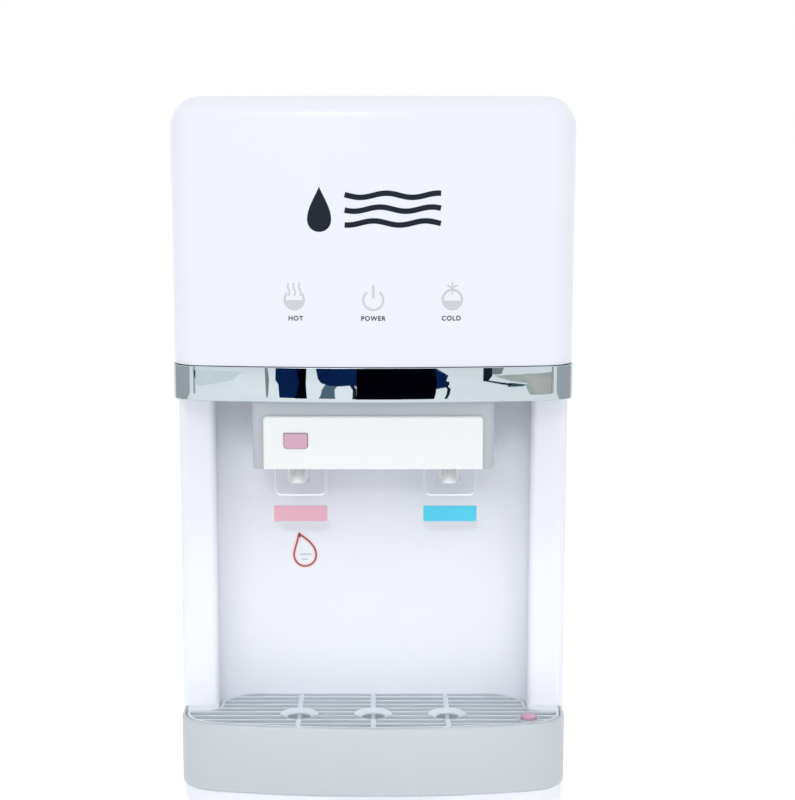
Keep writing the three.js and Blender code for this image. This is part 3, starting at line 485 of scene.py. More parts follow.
surface("print_dark", (0.01, 0.016, 0.03), (0.5, 0.6), 900, 1e-5, 0.1, Specular_IOR_Level=0.12)
surface("print_red", (0.3, 0.06, 0.07), (0.4, 0.5), 900, 1e-5, 0.05)
surface("print_blush", (0.86, 0.66, 0.68), (0.4, 0.5), 900, 1e-5, 0.03)
surface(
    "clear_acrylic", (0.97, 0.98, 0.985), (0.03, 0.08), 120, 1e-5, 0.005,
    Transmission_Weight=1.0, IOR=1.49,
)
surface(
    "silicone", (0.86, 0.87, 0.88), (0.35, 0.5), 700, 3e-5, 0.02, Transmission_Weight=0.5, IOR=1.41,
)


# ---- pieces


def piece(obj, slot, replaces=(), finish=None, body="housing"):
    """Gives a mesh the material of its finish, or of its slot when no finish is given, puts it in its body
    and hides the CAD nodes that it stands for.
    """
    obj.data.materials.clear()
    obj.data.materials.append(MATERIALS[finish or slot])
    mod = obj.modifiers.new("normals", "WEIGHTED_NORMAL")
    mod.keep_sharp = True
    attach(obj, body)
    if replaces:
        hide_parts(*replaces)
    return obj


# ---- studio


def camera_and_light():
    camera = add_object("camera", bpy.data.cameras.new("camera"))
    camera.location = (0, -1.35, 0.45)
    camera.rotation_euler = (math.radians(80), 0, 0)
    camera.data.lens = 82.1
    camera.data.sensor_width = 36
    camera.data.shift_x = 0.0303
    camera.data.shift_y = 0.0724
    camera.data.clip_end = 60
    SCENE.camera = camera
    world = bpy.data.worlds.new("studio")
    world.use_nodes = True
    background = world.node_tree.nodes["Background"]
    background.inputs["Color"].default_value = (1, 1, 1, 1)
    background.inputs["Strength"].default_value = 1.0
    SCENE.world = world
    SCENE.view_settings.view_transform = "Standard"
    SCENE.view_settings.look = "None"
    for name, place, aim, size, power, spread in (
        ("key", (-0.35, -2.6, 1.3), (0, -0.1, 0.22), (0.6, 0.6), 7.0, 180),
        ("low", (0, -1.96, 0.9), (0, -0.12, 0.075), (0.36, 0.12), 0.046, 8),
    ):
        light = add_object(name, bpy.data.lights.new(name, "AREA"))
        light.data.shape = "ELLIPSE"
        light.data.size, light.data.size_y = size
        light.data.energy = power
        light.data.spread = math.radians(spread)
        light.location = place
        light.rotation_euler = (Vector(aim) - Vector(place)).to_track_quat("-Z", "Y").to_euler()
        light.visible_glossy = name == "key"


def stage_floor():
    far = 12000
    corners = [(-far, -far, 0), (far, -far, 0), (far, far, 0), (-far, far, 0)]
    floor = mesh_object("floor", corners, [[0, 1, 2, 3]])
    made = Nodes("floor")
    color = made.blend(made.noise(3), (0.86, 0.86, 0.87), (0.9, 0.9, 0.9))
    made.paint(color, made.spread(made.noise(20), 0.7, 0.8))
    made.set(Emission_Color=(1, 1, 1, 1), Emission_Strength=0.2, Specular_IOR_Level=0.0)
    floor.data.materials.append(made.material)


def stage_cards():
    """Flats and stands around the studio, which only the object's polished band mirrors."""
    front, layer_step, side_x = -1700, 12, 1500
    navy, night, teal = (0.004, 0.02, 0.095), (0.0004, 0.0005, 0.003), (0.12, 0.2, 0.24)
    grey, smoke, leaf, sand = (0.5, 0.52, 0.54), (0.3, 0.32, 0.33), (0.56, 0.58, 0.53), (0.67, 0.62, 0.58)
    ink = (0.01, 0.02, 0.03)
    flats = [
        (0, (0.9, 0.95, 0.98), [(-891, 121), (-602, 121), (-654, 90), (-818, 64), (-902, 64)]),
        (1, grey, [(-1006, 160), (-896, 160), (-903, 30), (-1006, 30)]),
        (2, ink, [(-916, 117), (-888, 117), (-891, 86), (-909, 86)]),
        (0, smoke, [(-497, 160), (-484, 160), (-476, 95), (-484, 30), (-491, 30)]),
        (0, navy, [(-443, 160), (-299, 160), (-303, 90), (-298, 30), (-427, 30), (-432, 86), (-446, 99)]),
        (1, night, [(-347, 160), (-299, 160), (-303, 90), (-298, 30), (-354, 30), (-333, 95)]),
        (1, navy, [
            (-258, 160), (-67, 160), (-67, 87), (-91, 91), (-153, 88), (-192, 89), (-232, 96), (-247, 108),
        ]),
        (0, teal, [(-215, 91), (-157, 89), (-173, 77), (-170, 30), (-246, 30), (-231, 75)]),
        (1, ink, [(-104, 91), (-86, 91), (-75, 81), (-75, 30), (-93, 30), (-91, 77)]),
        (2, night, [(-72, 160), (270, 160), (283, 95), (270, 30), (-75, 30)]),
        (1, navy, [(263, 160), (337, 117), (327, 101), (343, 90), (330, 82), (283, 78), (263, 61)]),
        (2, ink, [(327, 101), (341, 99), (333, 86), (346, 79), (330, 30), (317, 30), (330, 78), (322, 86)]),
        (1, ink, [(500, 160), (541, 160), (544, 108), (523, 93), (500, 94)]),
        (0, smoke, [(533, 160), (614, 160), (592, 112), (541, 112)]),
        (2, ink, [(500, 96), (523, 97), (643, 82), (628, 77)]),
        (1, (0.05, 0.1, 0.11), [(628, 84), (658, 82), (723, 74), (697, 70), (621, 72)]),
        (0, leaf, [(555, 107), (915, 107), (915, 30), (751, 30), (720, 68), (729, 76), (643, 87)]),
        (1, sand, [(689, 104), (915, 86), (915, 30), (782, 30), (735, 81)]),
        (2, smoke, [(902, 160), (915, 160), (915, 30), (902, 30)]),
        (2, ink, [(925, 160), (943, 160), (943, 30), (925, 30)]),
        (1, grey, [(943, 160), (1035, 160), (1035, 30), (943, 30)]),
    ]
    for number, (layer, color, outline) in enumerate(flats):
        shape = [(x, front + layer_step * layer, z) for x, z in outline]
        hang(f"flat_{number}", shape, color)
    for x in (-side_x, side_x):
        hang("flat_side", [(x, -1600, 0), (x, 900, 0), (x, 900, 900), (x, -1600, 900)], grey)


def hang(name, shape, color):
    """A painted flat that only mirrors show."""
    flat = mesh_object(name, shape, [list(range(len(shape)))])
    made = Nodes(flat.name)
    tint = made.blend(made.noise(8), shade(color, 0.92), shade(color, 1.06))
    made.paint(tint, made.spread(made.noise(9), 0.8, 0.9))
    made.set(Specular_IOR_Level=0.0)
    flat.data.materials.append(made.material)
    for ray in ("camera", "diffuse", "shadow", "transmission"):
        setattr(flat, "visible_" + ray, False)


# ---- head


def head_outline(half, bottom, steps_side, steps_corner, steps_top):
    """Anchors of the head seen from the front: (centre x, centre z, angle), left bottom to right bottom."""
    cx, cz = half - HEAD_RADIUS, TOP - HEAD_RADIUS
    left = [(-cx, bottom + (cz - bottom) * i / steps_side, 180.0) for i in range(steps_side)]
    left += [(-cx, cz, 180.0 - 90.0 * i / steps_corner) for i in range(steps_corner)]
    across = [(-cx + 2 * cx * i / steps_top, cz, 90.0) for i in range(steps_top + 1)]
    right = [(-x, z, 180.0 - a) for x, z, a in reversed(left)]
    return left, across, right


def off_anchor(anchor, inset):
    """x and z on the head's outline, drawn in by the inset."""
    cx, cz, angle = anchor
    r = HEAD_RADIUS - inset
    return cx + r * math.cos(math.radians(angle)), cz + r * math.sin(math.radians(angle))


def head_shell():
    """The head's front cover: a bowed face that rolls into its sides and top."""
    roll_side, roll_top, roll_steps = 17.0, 13.0, 10
    left, across, right = head_outline(HEAD_PLAN[0], HEAD_BOTTOM, 14, 8, 40)
    anchors = left + across + right

    def row(turn):
        points = []
        for anchor in anchors:
            roll = roll_side + (roll_top - roll_side) * math.sin(math.radians(anchor[2])) ** 2
            x, z = off_anchor(anchor, roll * (1 - math.cos(turn)))
            points.append((x, bow_y(HEAD_PLAN, x) + roll * (1 - math.sin(turn)), z))
        return points

    edge = row(0)
    rows = [[(x, HEAD_BACK, z) for x, _, z in edge], [(x, (y + HEAD_BACK) / 2, z) for x, y, z in edge], edge]
    rows += [row(math.radians(90 * k / roll_steps)) for k in range(1, roll_steps + 1)]
    verts = [p for points in rows for p in points]
    width, steps_top = len(anchors), len(across) - 1
    faces = between(len(rows), width)
    last = (len(rows) - 1) * width
    ladder = []
    for i in range(len(left)):
        a, b = verts[last + i], verts[last + width - 1 - i]
        rung = [last + i]
        for k in range(1, steps_top):
            x = a[0] + (b[0] - a[0]) * k / steps_top
            verts.append((x, bow_y(HEAD_PLAN, x), a[2]))
            rung.append(len(verts) - 1)
        ladder.append(rung + [last + width - 1 - i])
    ladder.append([last + len(left) + k for k in range(steps_top + 1)])
    for low, high in zip(ladder, ladder[1:]):
        faces += [[low[k], low[k + 1], high[k + 1], high[k]] for k in range(steps_top)]
    cover = mesh_object("head_cover", verts, faces)
    mod = cover.modifiers.new("wall", "SOLIDIFY")
    mod.thickness = WALL * MM
    mod.offset = -1
    mod.use_even_offset = True
    bake(cover)
    bevel(cover, 0.4, 3)
    piece(cover, "body_white", ["head_front_cover"])


def top_shell():
    """The cover behind the head's front, with the opening for the tank lid."""
    front, back, bottom = span("top_cover")[2:5]
    left, across, right = head_outline(HALF_WIDTH, bottom, 3, 10, 6)
    anchors = left + across + right
    round_back, lid_gap, lid_corner = 6.0, 0.4, 18

    def row(inset, y):
        return [(x, y, z) for x, z in (off_anchor(anchor, inset) for anchor in anchors)]

    rows = [row(WALL, back - WALL), row(WALL, front), row(0.5, front), row(0, front + 0.5)]
    rows.append(row(0, back - round_back))
    for k in range(1, 7):
        turn = math.radians(15 * k)
        rows.append(row(round_back * (1 - math.cos(turn)), back - round_back * (1 - math.sin(turn))))
    count, width = len(rows), len(anchors)
    faces = between(count, width)
    faces += [[i * width + j for j in range(width)] for i in (0, count - 1)]
    left_edge = [i * width for i in range(count)]
    right_edge = [i + width - 1 for i in left_edge]
    faces += [left_edge, right_edge, [left_edge[0], left_edge[-1], right_edge[-1], right_edge[0]]]
    cover = mesh_object("top_cover_shell", [p for points in rows for p in points], faces)
    x0, x1, y0, y1, _, _ = span("top_lid")
    hole = rounded(x0 - lid_gap, x1 + lid_gap, y0 - lid_gap, y1 + lid_gap, lid_corner, 10)
    combine(cover, [prism(hole, TOP - 15, TOP + 5)])
    bevel(cover, 0.6)
    piece(cover, "body_white", ["top_cover"])


def lid():
    x0, x1, y0, y1, z0, z1 = span("top_lid")
    bottom, corner, boss_radius = z1 - 3.5, 17.6, 69
    section = fillet([(2, bottom), (0, bottom), (0, z1), (4, z1)], [0, 0.5, 1.3, 0], 5)
    plate = sweep("lid_plate", rounded(x0, x1, y0, y1, corner, 12), section)
    cx, cy, _ = centre_of("top_lid")
    section = fillet([(4, z0), (0, z0), (0, z1 - 1.2), (3, z1 - 1.2)], [0, 1, 0, 0])
    combine(plate, [sweep("boss", circle(cx, cy, boss_radius, 72), section)], "UNION")
    grip = sweep(
        "tool", rounded(cx - 22, cx + 22, y0 - 6, y0 + 9, 4.5),
        [(1.6, z1 - 2), (1.2, z1 - 1.9), (0.5, z1 - 1.3), (0, z1 - 0.4), (-0.5, z1 + 1)],
    )
    combine(plate, [grip])
    piece(bevel(plate, 0.3), "body_white", ["top_lid"], body="top_lid")


def band():
    z0, z1 = span("chrome_trim")[4:]
    middle = (z0 + z1) / 2
    outer = [(0.05, z0), (0.02, middle - 6), (0, middle), (0.02, middle + 6), (0.05, z1), (2, z1), (2, z0)]
    section = fillet(outer, [0.8, 0, 0, 0, 0.4, 0, 0])

    def path(inset):
        return bowed(BAND_PLAN, HEAD_BACK, inset)

    piece(sweep("chrome_band", path, section, loop=False, ring=True), "chrome", ["chrome_trim"])


# ---- casing


def recess_path(offset):
    """Pillars, fillets and back wall of the recess, from left to right."""
    outer_r, inner_r = 6.0, 5.0
    outer_x, outer_y = HALF_WIDTH - outer_r, PILLAR_FRONT + outer_r
    inner_x, inner_y = PILLAR_INNER + inner_r, PILLAR_FRONT + inner_r
    points = [(offset - HALF_WIDTH, HEAD_BACK)]
    points += arc(-outer_x, outer_y, outer_r - offset, 180, 270, 8)
    points += arc(-inner_x, inner_y, inner_r - offset, 270, 360, 8)
    points += recess_corner(-1, -offset, 180, 90, 16)
    points += recess_corner(1, -offset, 90, 0, 16)
    points += arc(inner_x, inner_y, inner_r - offset, 180, 270, 8)
    points += arc(outer_x, outer_y, outer_r - offset, 270, 360, 8)
    return points + [(HALF_WIDTH - offset, HEAD_BACK)]


def ledge(side):
    """The sill in front of a pillar's foot, with a rounded front edge."""
    x_out, back = BASE_PLAN[0] - WALL - 0.3, PILLAR_FRONT + 1.2
    cx, cy = PILLAR_INNER + LEDGE_RADIUS, LEDGE_FRONT + LEDGE_RADIUS

    def path(inset):
        points = [(x_out, back), (PILLAR_INNER + 0.3, back)]
        points += arc(cx, cy, LEDGE_RADIUS - inset, 180, 270, 8)
        points += [(x_out, LEDGE_FRONT + inset)]
        return [(side * x, y) for x, y in points]

    bottom = BASE_TOP - 3
    corners = [(0.5, bottom), (0, bottom), (0, BASE_TOP), (2, BASE_TOP)]
    return sweep("ledge", path, fillet(corners, [0, 0.3, 0.9, 0]))


def recess():
    z0, z1 = span("recess_panel")[4:]
    section = fillet([(0, z0), (0, z1), (WALL, z1), (WALL, z0)], [0.4, 0.4, 0, 0], 2)
    wall = sweep("recess_wall", recess_path, section, loop=False, ring=True)
    combine(wall, [
        prism(circle(x, PORT_Z, 6, 24), RECESS_WALL - 5, RECESS_WALL + 10, "xz") for x in TAPS.values()
    ])
    combine(wall, [ledge(-1), ledge(1)], "UNION")
    piece(wall, "body_white", ["recess_panel"])


def side_skins():
    louvre_y, louvre_z, louvre_step = 130, 61.5, 10
    for side, node in ((-1, "side_panel_left"), (1, "side_panel_right")):
        x0, x1, y0, y1, z0, z1 = span(node)
        outer, inner = (x0, x1) if side < 0 else (x1, x0)
        edge = 0.7 * side
        section = [(0, inner), (0, outer - edge), (0.2, outer - edge * 0.35), (0.7, outer)]
        plate = sweep(node.replace("panel", "skin"), rounded(y0, y1, z0, z1, 0.8, 3), section, plane="yz")
        louvres = [
            slot_prism(louvre_y, louvre_z + row * louvre_step, 20, 1.5, x0 - 1, x1 + 1, "yz")
            for row in range(8)
        ]
        combine(plate, [merge("tool", louvres)])
        piece(bevel(plate, 0.35), "body_white", [node])


def screw(x, z):
    """A pan head with a cross recess, on the rear panels."""
    y, radius = BACK, 3.2
    dome = [(0.01, y - 1), (radius, y - 1), (radius, y + 0.5)]
    dome += [(radius * math.cos(a), y + 0.5 + 0.8 * math.sin(a)) for a in (0.3, 0.6, 0.9, 1.2)]
    dome += [(0.01, y + 1.3)]
    head = lathe("screw", dome, (x, z), "xz", 20)
    long, thin = radius * 0.62, 0.45
    return combine(head, [
        prism(rounded(x - a, x + a, z - b, z + b, 0.2, 1), y + 0.3, y + 3, "xz")
        for a, b in ((long, thin), (thin, long))
    ])


def rear():
    x0, x1, y0, y1, z0, z1 = span("rear_cover")
    section = [(0, y0), (0, y1 - 0.6), (0.2, y1 - 0.2), (0.7, y1)]
    plate = sweep("rear_skin", rounded(x0, x1, z0, z1, 2, 4), section, plane="xz")
    louvre_z, louvre_step = 167, 13
    louvres = [
        slot_prism(x, louvre_z + row * louvre_step, 22, 2, y0 - 1, y1 + 1)
        for x in (-60, 0, 60) for row in range(9)
    ]
    combine(plate, [merge("tool", louvres)])
    piece(bevel(plate, 0.35), "body_white", ["rear_cover"])

    x0, x1, y0, y1, z0, z1 = span("service_panel")
    section = [(0, y0), (0, y1 - 0.5), (0.2, y1 - 0.15), (0.5, y1)]
    plate = sweep("service_plate", rounded(x0, x1, z0, z1, 2, 4), section, plane="xz")
    holes = []
    for node in ("water_inlet_fitting", "drain_fitting"):
        x, _, z = centre_of(node)
        holes.append(circle(x, z, 8.3, 32))
    for node in SWITCHES:
        a, b = span(node)[:2]
        holes.append(rounded(a - 0.6, b + 0.6, SWITCH_Z - 10.4, SWITCH_Z + 10.4, 0.6, 3))
    x, _, z = centre_of("power_inlet")
    holes.append(rounded(x - 13.8, x + 13.8, z - 10.1, z + 10.1, 0.6, 3))
    combine(plate, [merge("tool", [prism(hole, y0 - 1, y1 + 1, "xz") for hole in holes])])
    piece(bevel(plate, 0.25), "zinc_plate", ["service_panel"])

    left, right = -122, 122
    places = [(x, z) for x in (left, 0, right) for z in (143, 444)] + [(left, 285), (right, 285)]
    places += [(x, z) for x in (left, right) for z in (28, 126)] + [(0, 28), (0, 126)]
    piece(merge("rear_screws", [screw(x, z) for x, z in places]), "steel")
    bezels = []
    for node in SWITCHES:
        a, b = span(node)[:2]
        outer = rounded(a - 2.6, b + 2.6, SWITCH_Z - 12.4, SWITCH_Z + 12.4, 1.6, 4)
        inner = rounded(a - 0.55, b + 0.55, SWITCH_Z - 10.3, SWITCH_Z + 10.3, 0.5, 4)
        rows = [
            [(x, BACK + rise, z) for x, z in outline(inset)]
            for outline, inset, rise in (
                (outer, 0, 0.05), (outer, 0, 0.9), (outer, 0.5, 1.4),
                (inner, -0.3, 1.4), (inner, 0, 1.1), (inner, 0, 0.05),
            )
        ]
        bezels.append(skin("bezel", rows, loop=True, ring=True))
    piece(merge("switch_bezels", bezels), "black_plastic")


# ---- base


def base():
    z0, z1 = BASE_BOTTOM, BASE_TOP

    def path(inset):
        return bowed(BASE_PLAN, PILLAR_FRONT - 0.3, inset)

    section = fillet([(0, z0), (0, z1), (WALL, z1), (WALL, z0)], [1.2, 1.5, 0.7, 0])
    wall = sweep("base_cover", path, section, loop=False, ring=True)
    floor = prism(lambda inset: well(1), z0 + 0.05, z0 + WALL)
    combine(wall, [floor], "UNION")
    piece(wall, "silver_plastic", ["base_front_cover"])

    back, z0, z1 = span("base_pan")[3:]
    section = [(8, z0), (5.5, z0), (3.4, z0 + 0.5), (1.6, z0 + 1.7), (0.5, z0 + 3.6), (0, z0 + 6)]
    section += [(0, z1 - 0.5), (0.5, z1), (WALL, z1), (WALL, z0 + 3)]
    tray = sweep("plinth_tray", lambda inset: bowed(PLINTH_PLAN, back, inset, True), section)
    piece(tray, "body_white", ["base_pan"])

    for node in sorted(n for n in frame["nodes"] if n.startswith("foot_")):
        z0, z1 = span(node)[4:]
        sole = [(0.01, z0), (6, z0), (6.4, z0 + 0.5), (7.4, z0 + 0.5), (7.8, z0)]
        rim = fillet([(0.01, z0), (11, z0), (9.5, z1), (0.01, z1)], [0, 1, 0, 0])[1:-1]
        pad = lathe(node.replace("foot", "pad"), sole + rim + [(0.01, z1)], centre_of(node)[:2], steps=40)
        piece(pad, "rubber_black", [node])


# ---- taps


def housing_box():
    x0, x1, y0, y1, z0, z1 = span("faucet_housing")
    radius = 5.0

    def path(inset):
        a, b, c, r = x0 + inset, x1 - inset, y0 + inset, radius - inset
        points = [(a, y1)] + arc(a + r, c + r, r, 180, 270, 8) + arc(b - r, c + r, r, 270, 360, 8)
        return points + [(b, y1)]

    corners = [(4, z0), (0, z0), (0, z1), (WALL, z1), (WALL, z0 + WALL), (4, z0 + WALL)]
    shell = sweep("tap_housing", path, fillet(corners, [0, 1.1, 0, 0, 0, 0]))
    holes = [circle(x, TAP_Y, 8.4, 40) for x in TAPS.values()]
    for name in TAPS:
        a, b = span(name + "_lever")[:2]
        holes.append(rounded(a - 0.5, b + 0.5, LEVER_Y - 1.9, LEVER_Y + 8.2, 0.6, 3))
    tools = [prism(hole, z0 - 1, z0 + WALL + 1) for hole in holes]
    button = button_path(-0.3)
    tools.append(prism(lambda inset: button, y0 - 1, y0 + WALL + 1, "xz"))
    combine(shell, [merge("tool", tools)])
    piece(shell, "grey_plastic", ["faucet_housing"])

    x0, x1, y0, y1, z0, z1 = span("faucet_face")

    def face(inset):
        box = x0 + inset, x1 - inset, z0 + inset * 0.35, z1 - inset
        return four_arcs(*box, 0.5, 2.6 - inset * 0.2, 3, 8)

    section = fillet([(1, y1), (0, y1), (0, y0), (5, y0)], [0, 0.2, 2.1, 0], 6)
    plate = sweep("tap_face", face, section, plane="xz")
    combine(plate, [prism(lambda inset: button, y0 - 1, y1 + 1, "xz")])
    piece(plate, "body_white", ["faucet_face"], "face_white")


def button_path(inset):
    """The lock button seen from the front, its lower corners rounder than its upper ones."""
    x, z, half, height = TAPS["hot"], 256.6, 7.6 - inset, 4.9 - inset
    return four_arcs(x - half, x + half, z - height, z + height, 2.2, 0.9, 6, 5)


def lock_button():
    x0, x1, y0, y1, z0, z1 = span("hot_lock_button")
    section = [(0, y1 - 2.5), (0, y0 + 0.7), (0.2, y0 + 0.25), (0.7, y0 + 0.02), (2.5, y0 + 0.25)]
    cap = sweep("lock_button", button_path, section, plane="xz")
    flange = sweep("tool", rounded(x0, x1, z0, z1, 1, 3), [(0, y1 - 2.6), (0, y1)], plane="xz")
    combine(cap, [flange], "UNION")
    piece(cap, "hot_pink", ["hot_lock_button"], "button_pink", "hot_lock_button")


def coil_spring(node, plane, at, anchor):
    """A round-wire spring that stands for a CAD spring."""
    upright = plane == "xy"
    radius, wire, turns, steps = (4.6, 0.5, 3, 24) if upright else (3, 0.5, 3, 20)
    start, end = span(node)[4:] if upright else span(node)[2:4]
    rows = []
    for i in range(turns * steps + 1):
        turn = 2 * math.pi * i / steps
        height = start + wire + (end - start - 2 * wire) * i / (turns * steps)
        row = []
        for around in (math.radians(45 * k) for k in range(8)):
            reach = radius + wire * math.cos(around)
            a, b = at[0] + reach * math.cos(turn), at[1] + reach * math.sin(turn)
            row.append(placed(a, b, height + wire * math.sin(around), plane))
        rows.append(row)
    spring = piece(skin(node.replace("spring", "coil"), rows, loop=True), "steel", [node])
    still = [v * MM for v in placed(*at, anchor, plane)]
    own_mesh(spring)


def springs():
    for name, x in TAPS.items():
        seat = span(name + "_tap_body")[5]
        coil_spring(name + "_valve_spring", "xy", (x, TAP_Y), seat)
    x, _, z = centre_of("hot_lock_spring")
    end = span("hot_lock_spring")[3]
    coil_spring("hot_lock_spring", "xz", (x, z), end + 0.1)


def tap(name, x):
    z0, z1 = span(name + "_tap_body")[4:]
    bore, tube, flange, sleeve, bell = 3.2, 4.8, 10.5, 6.7, 7.8
    floor, shelf = 240.3, 243.3
    corners = [
        (bore, z0), (tube, z0), (tube, floor + 1), (flange, floor + 1), (flange, shelf), (8.5, shelf + 1),
        (8.5, z1), (bore, z1),
    ]
    profile = fillet(corners, [0.4, 0.7, 0, 0.3, 0.4, 0, 0.5, 0], 3)
    barrel = lathe(name + "_nozzle", profile, (x, TAP_Y), steps=56)
    end = TAP_Y + 23
    port = sweep("tool", circle(x, PORT_Z, 4.5, 32), [(0.4, end), (0, end - 0.4), (0, TAP_Y + 7)], plane="xz")
    combine(barrel, [port], "UNION")
    combine(barrel, [prism(circle(x, PORT_Z, 1.8, 24), end + 1, TAP_Y + 5, "xz")])
    piece(barrel, "tap_plastic", [name + "_tap_body"])
    rim, top = z0 + 0.8, floor + 0.9
    corners = [
        (sleeve, rim), (8, rim), (bell, rim + 2.2), (bell, floor), (flange, floor), (flange, top),
        (sleeve, top),
    ]
    profile = fillet(corners, [0.4, 0.5, 0.6, 0, 0, 0, 0], 3)
    shroud = lathe(name + "_shroud", profile, (x, TAP_Y), steps=56)
    piece(shroud, "clear_acrylic", [name + "_tap_body"])
    shroud.visible_shadow = False


def lever(name, x):
    """A clear U-shaped paddle on a hub, with its frosted cut edges, which carry a painted glow, and its
    coloured strip.
    """
    x0, x1, _, _, z0, _ = span(name + "_lever")
    y0, y1 = LEVER_Y - 1.25, LEVER_Y + 1.25
    window_bottom, window_top = 213.6, HINGE_Z - 5
    outer = rounded(x0, x1, z0, HINGE_Z, 1.5, 8), 0.4, 1
    window = rounded(x0 + 2, x1 - 2, window_bottom, window_top, 3, 8), 0.9, -1
    rows = []
    for loop, face, way in ((outer, y0, 1), (window, y0, 1), (window, y1, -1), (outer, y1, -1)):
        outline, edge, sign = loop
        for turn in (0, 30, 60, 90) if sign == way else (90, 60, 30, 0):
            inset = edge * (1 - math.cos(math.radians(turn)))
            y = face + way * (edge * (1 - math.sin(math.radians(turn))))
            rows.append([(a, y, b) for a, b in outline(sign * inset)])
    plate = skin(name + "_paddle", rows, loop=True, ring=True)
    hub_section = [(0.5, x0), (0, x0 + 0.5), (0, x1 - 0.5), (0.5, x1)]
    hub = sweep("tool", circle(LEVER_Y, HINGE_Z, 4.2, 40), hub_section, plane="yz")
    finger = block("tool", x - 3, x + 3, TAP_Y - 1.8, LEVER_Y, HINGE_Z + 0.3, HINGE_Z + 4, 0.4)
    combine(plate, [hub, finger], "UNION")
    combine(plate, [prism(circle(LEVER_Y, HINGE_Z, 1.8, 24), x0 - 1, x1 + 1, "yz")])
    piece(plate, "clear_acrylic", [name + "_lever"], body=name + "_lever")
    plate.visible_shadow = False
    # Painted glow: the window's lower cut edge and the paddle's frosted sides and underside get the glowing
    # finishes.
    plate.data.materials.append(MATERIALS["cut_edge_painted_glow"])
    plate.data.materials.append(MATERIALS["frosted_side_painted_glow"])
    for face in plate.data.polygons:
        z = face.center.z / MM
        if window_bottom - 1.2 < z < window_bottom + 1.2 and face.normal.z > 0.5:
            face.material_index = 1
        elif z < HINGE_Z - 6 and max(abs(face.normal.x), -face.normal.z) > 0.9:
            face.material_index = 2
    a0, a1, b0, b1, c0, c1 = span(name + "_lever_strip")
    section = [(0.15, b1), (0, b1 - 0.1), (0, b0 + 0.3), (0.1, b0 + 0.1), (0.3, b0)]
    strip = sweep(name + "_strip", rounded(a0, a1, c0, c1, 0.9, 5), section, plane="xz")
    color = "hot_pink" if name == "hot" else "cold_blue"
    piece(strip, color, [name + "_lever_strip"], body=name + "_lever")


# ---- drip tray


def bar(shape, start, end, plane):
    return skin("tool", [[placed(a, b, h, plane) for a, b in shape] for h in (start, end)], loop=True)


def grille():
    z0, z1 = span("drip_grille")[4:]
    low = z0 + 1
    ring_radius, eye_radius, slat_half, slat_step = 13, 8, 1.5, 8.3
    section = fillet([(0, z0), (0, z1), (3, z1), (3, z0)], [0.4, 1.2, 1.2, 0.4])
    grid = sweep("grille", lambda inset: well(0.35 + inset), section, ring=True)
    slats = []
    for y in (-186.5 + i * slat_step for i in range(8)):
        y0, y1, top = y - slat_half, y + slat_half, z1 - 0.15
        shape = fillet([(y0, low), (y1, low), (y1, top), (y0, top)], [0, 0, 1.2, 1.2], 4)
        slats.append(bar(shape, -HALF_WIDTH, HALF_WIDTH, "yz"))
    slats = merge("tool", slats)
    ribs = []
    for x in CUPS:
        x0, x1 = x - RIB_HALF, x + RIB_HALF
        shape = fillet([(x0, low), (x1, low), (x1, z1), (x0, z1)], [0, 0, 1, 1], 4)
        ribs.append(bar(shape, -200, -120, "xz"))
    combine(slats, [merge("tool", ribs)], "UNION")
    combine(slats, [prism(lambda inset: well(2.1), low - 1, z1 + 1)], "INTERSECT")
    combine(slats, [merge("tool", [prism(circle(x, CUP_Y, 12), low - 2, z1 + 2) for x in CUPS])])
    combine(grid, [slats], "UNION")
    dish = [(0, low), (0, z1 - 0.5), (0.2, z1 - 0.15), (0.6, z1), (1.3, z1 - 0.1), (2.4, z1 - 0.45)]
    dish += [(3.6, z1 - 1), (4.6, z1 - 1.5), (4.9, z1 - 1.8), (5, z1 - 2.2), (5, low)]
    rings = [sweep("ring", circle(x, CUP_Y, ring_radius, 64), dish, ring=True) for x in CUPS]
    combine(grid, [merge("tool", rings)], "UNION")
    bars = [block("bar", x - 1.3, x + 1.3, CUP_Y - 9, CUP_Y + 9, low, z1 - 5, 0.3) for x in CUPS]
    combine(grid, [merge("tool", bars)], "UNION")
    fx, fy, _ = centre_of("float_indicator")
    collar = fillet([(1, low), (0, low), (0, z1), (2, z1)], [0, 0, 0.8, 0])
    combine(grid, [sweep("tool", circle(fx, fy, 8, 32), collar)], "UNION")
    combine(grid, [prism(circle(fx, fy, 5.6, 32), low - 1, z1 + 1)])
    piece(grid, "grey_plastic", ["drip_grille"], "tray_grey", "drip_grille")
    # Painted highlight: the far inner arc of each cup ring, the up-facing tops of the slats and rim, and the
    # ribs take the lighter grey.
    grid.data.materials.append(MATERIALS["tray_painted_highlight"])
    for face in grid.data.polygons:
        x, y, z = face.center / MM
        across = min(abs(x - cup) for cup in CUPS)
        reach = math.hypot(across, y - CUP_Y)
        if reach < ring_radius - 0.4:
            light = reach > eye_radius - 0.5 and y > CUP_Y - 3
        else:
            top = face.normal.z > 0.85 and z > z1 - 0.7 and y < -126
            top = top and math.hypot(x - fx, y - fy) > 9
            light = reach > ring_radius and (top or across < RIB_HALF + 0.1)
        if light:
            face.material_index = 1


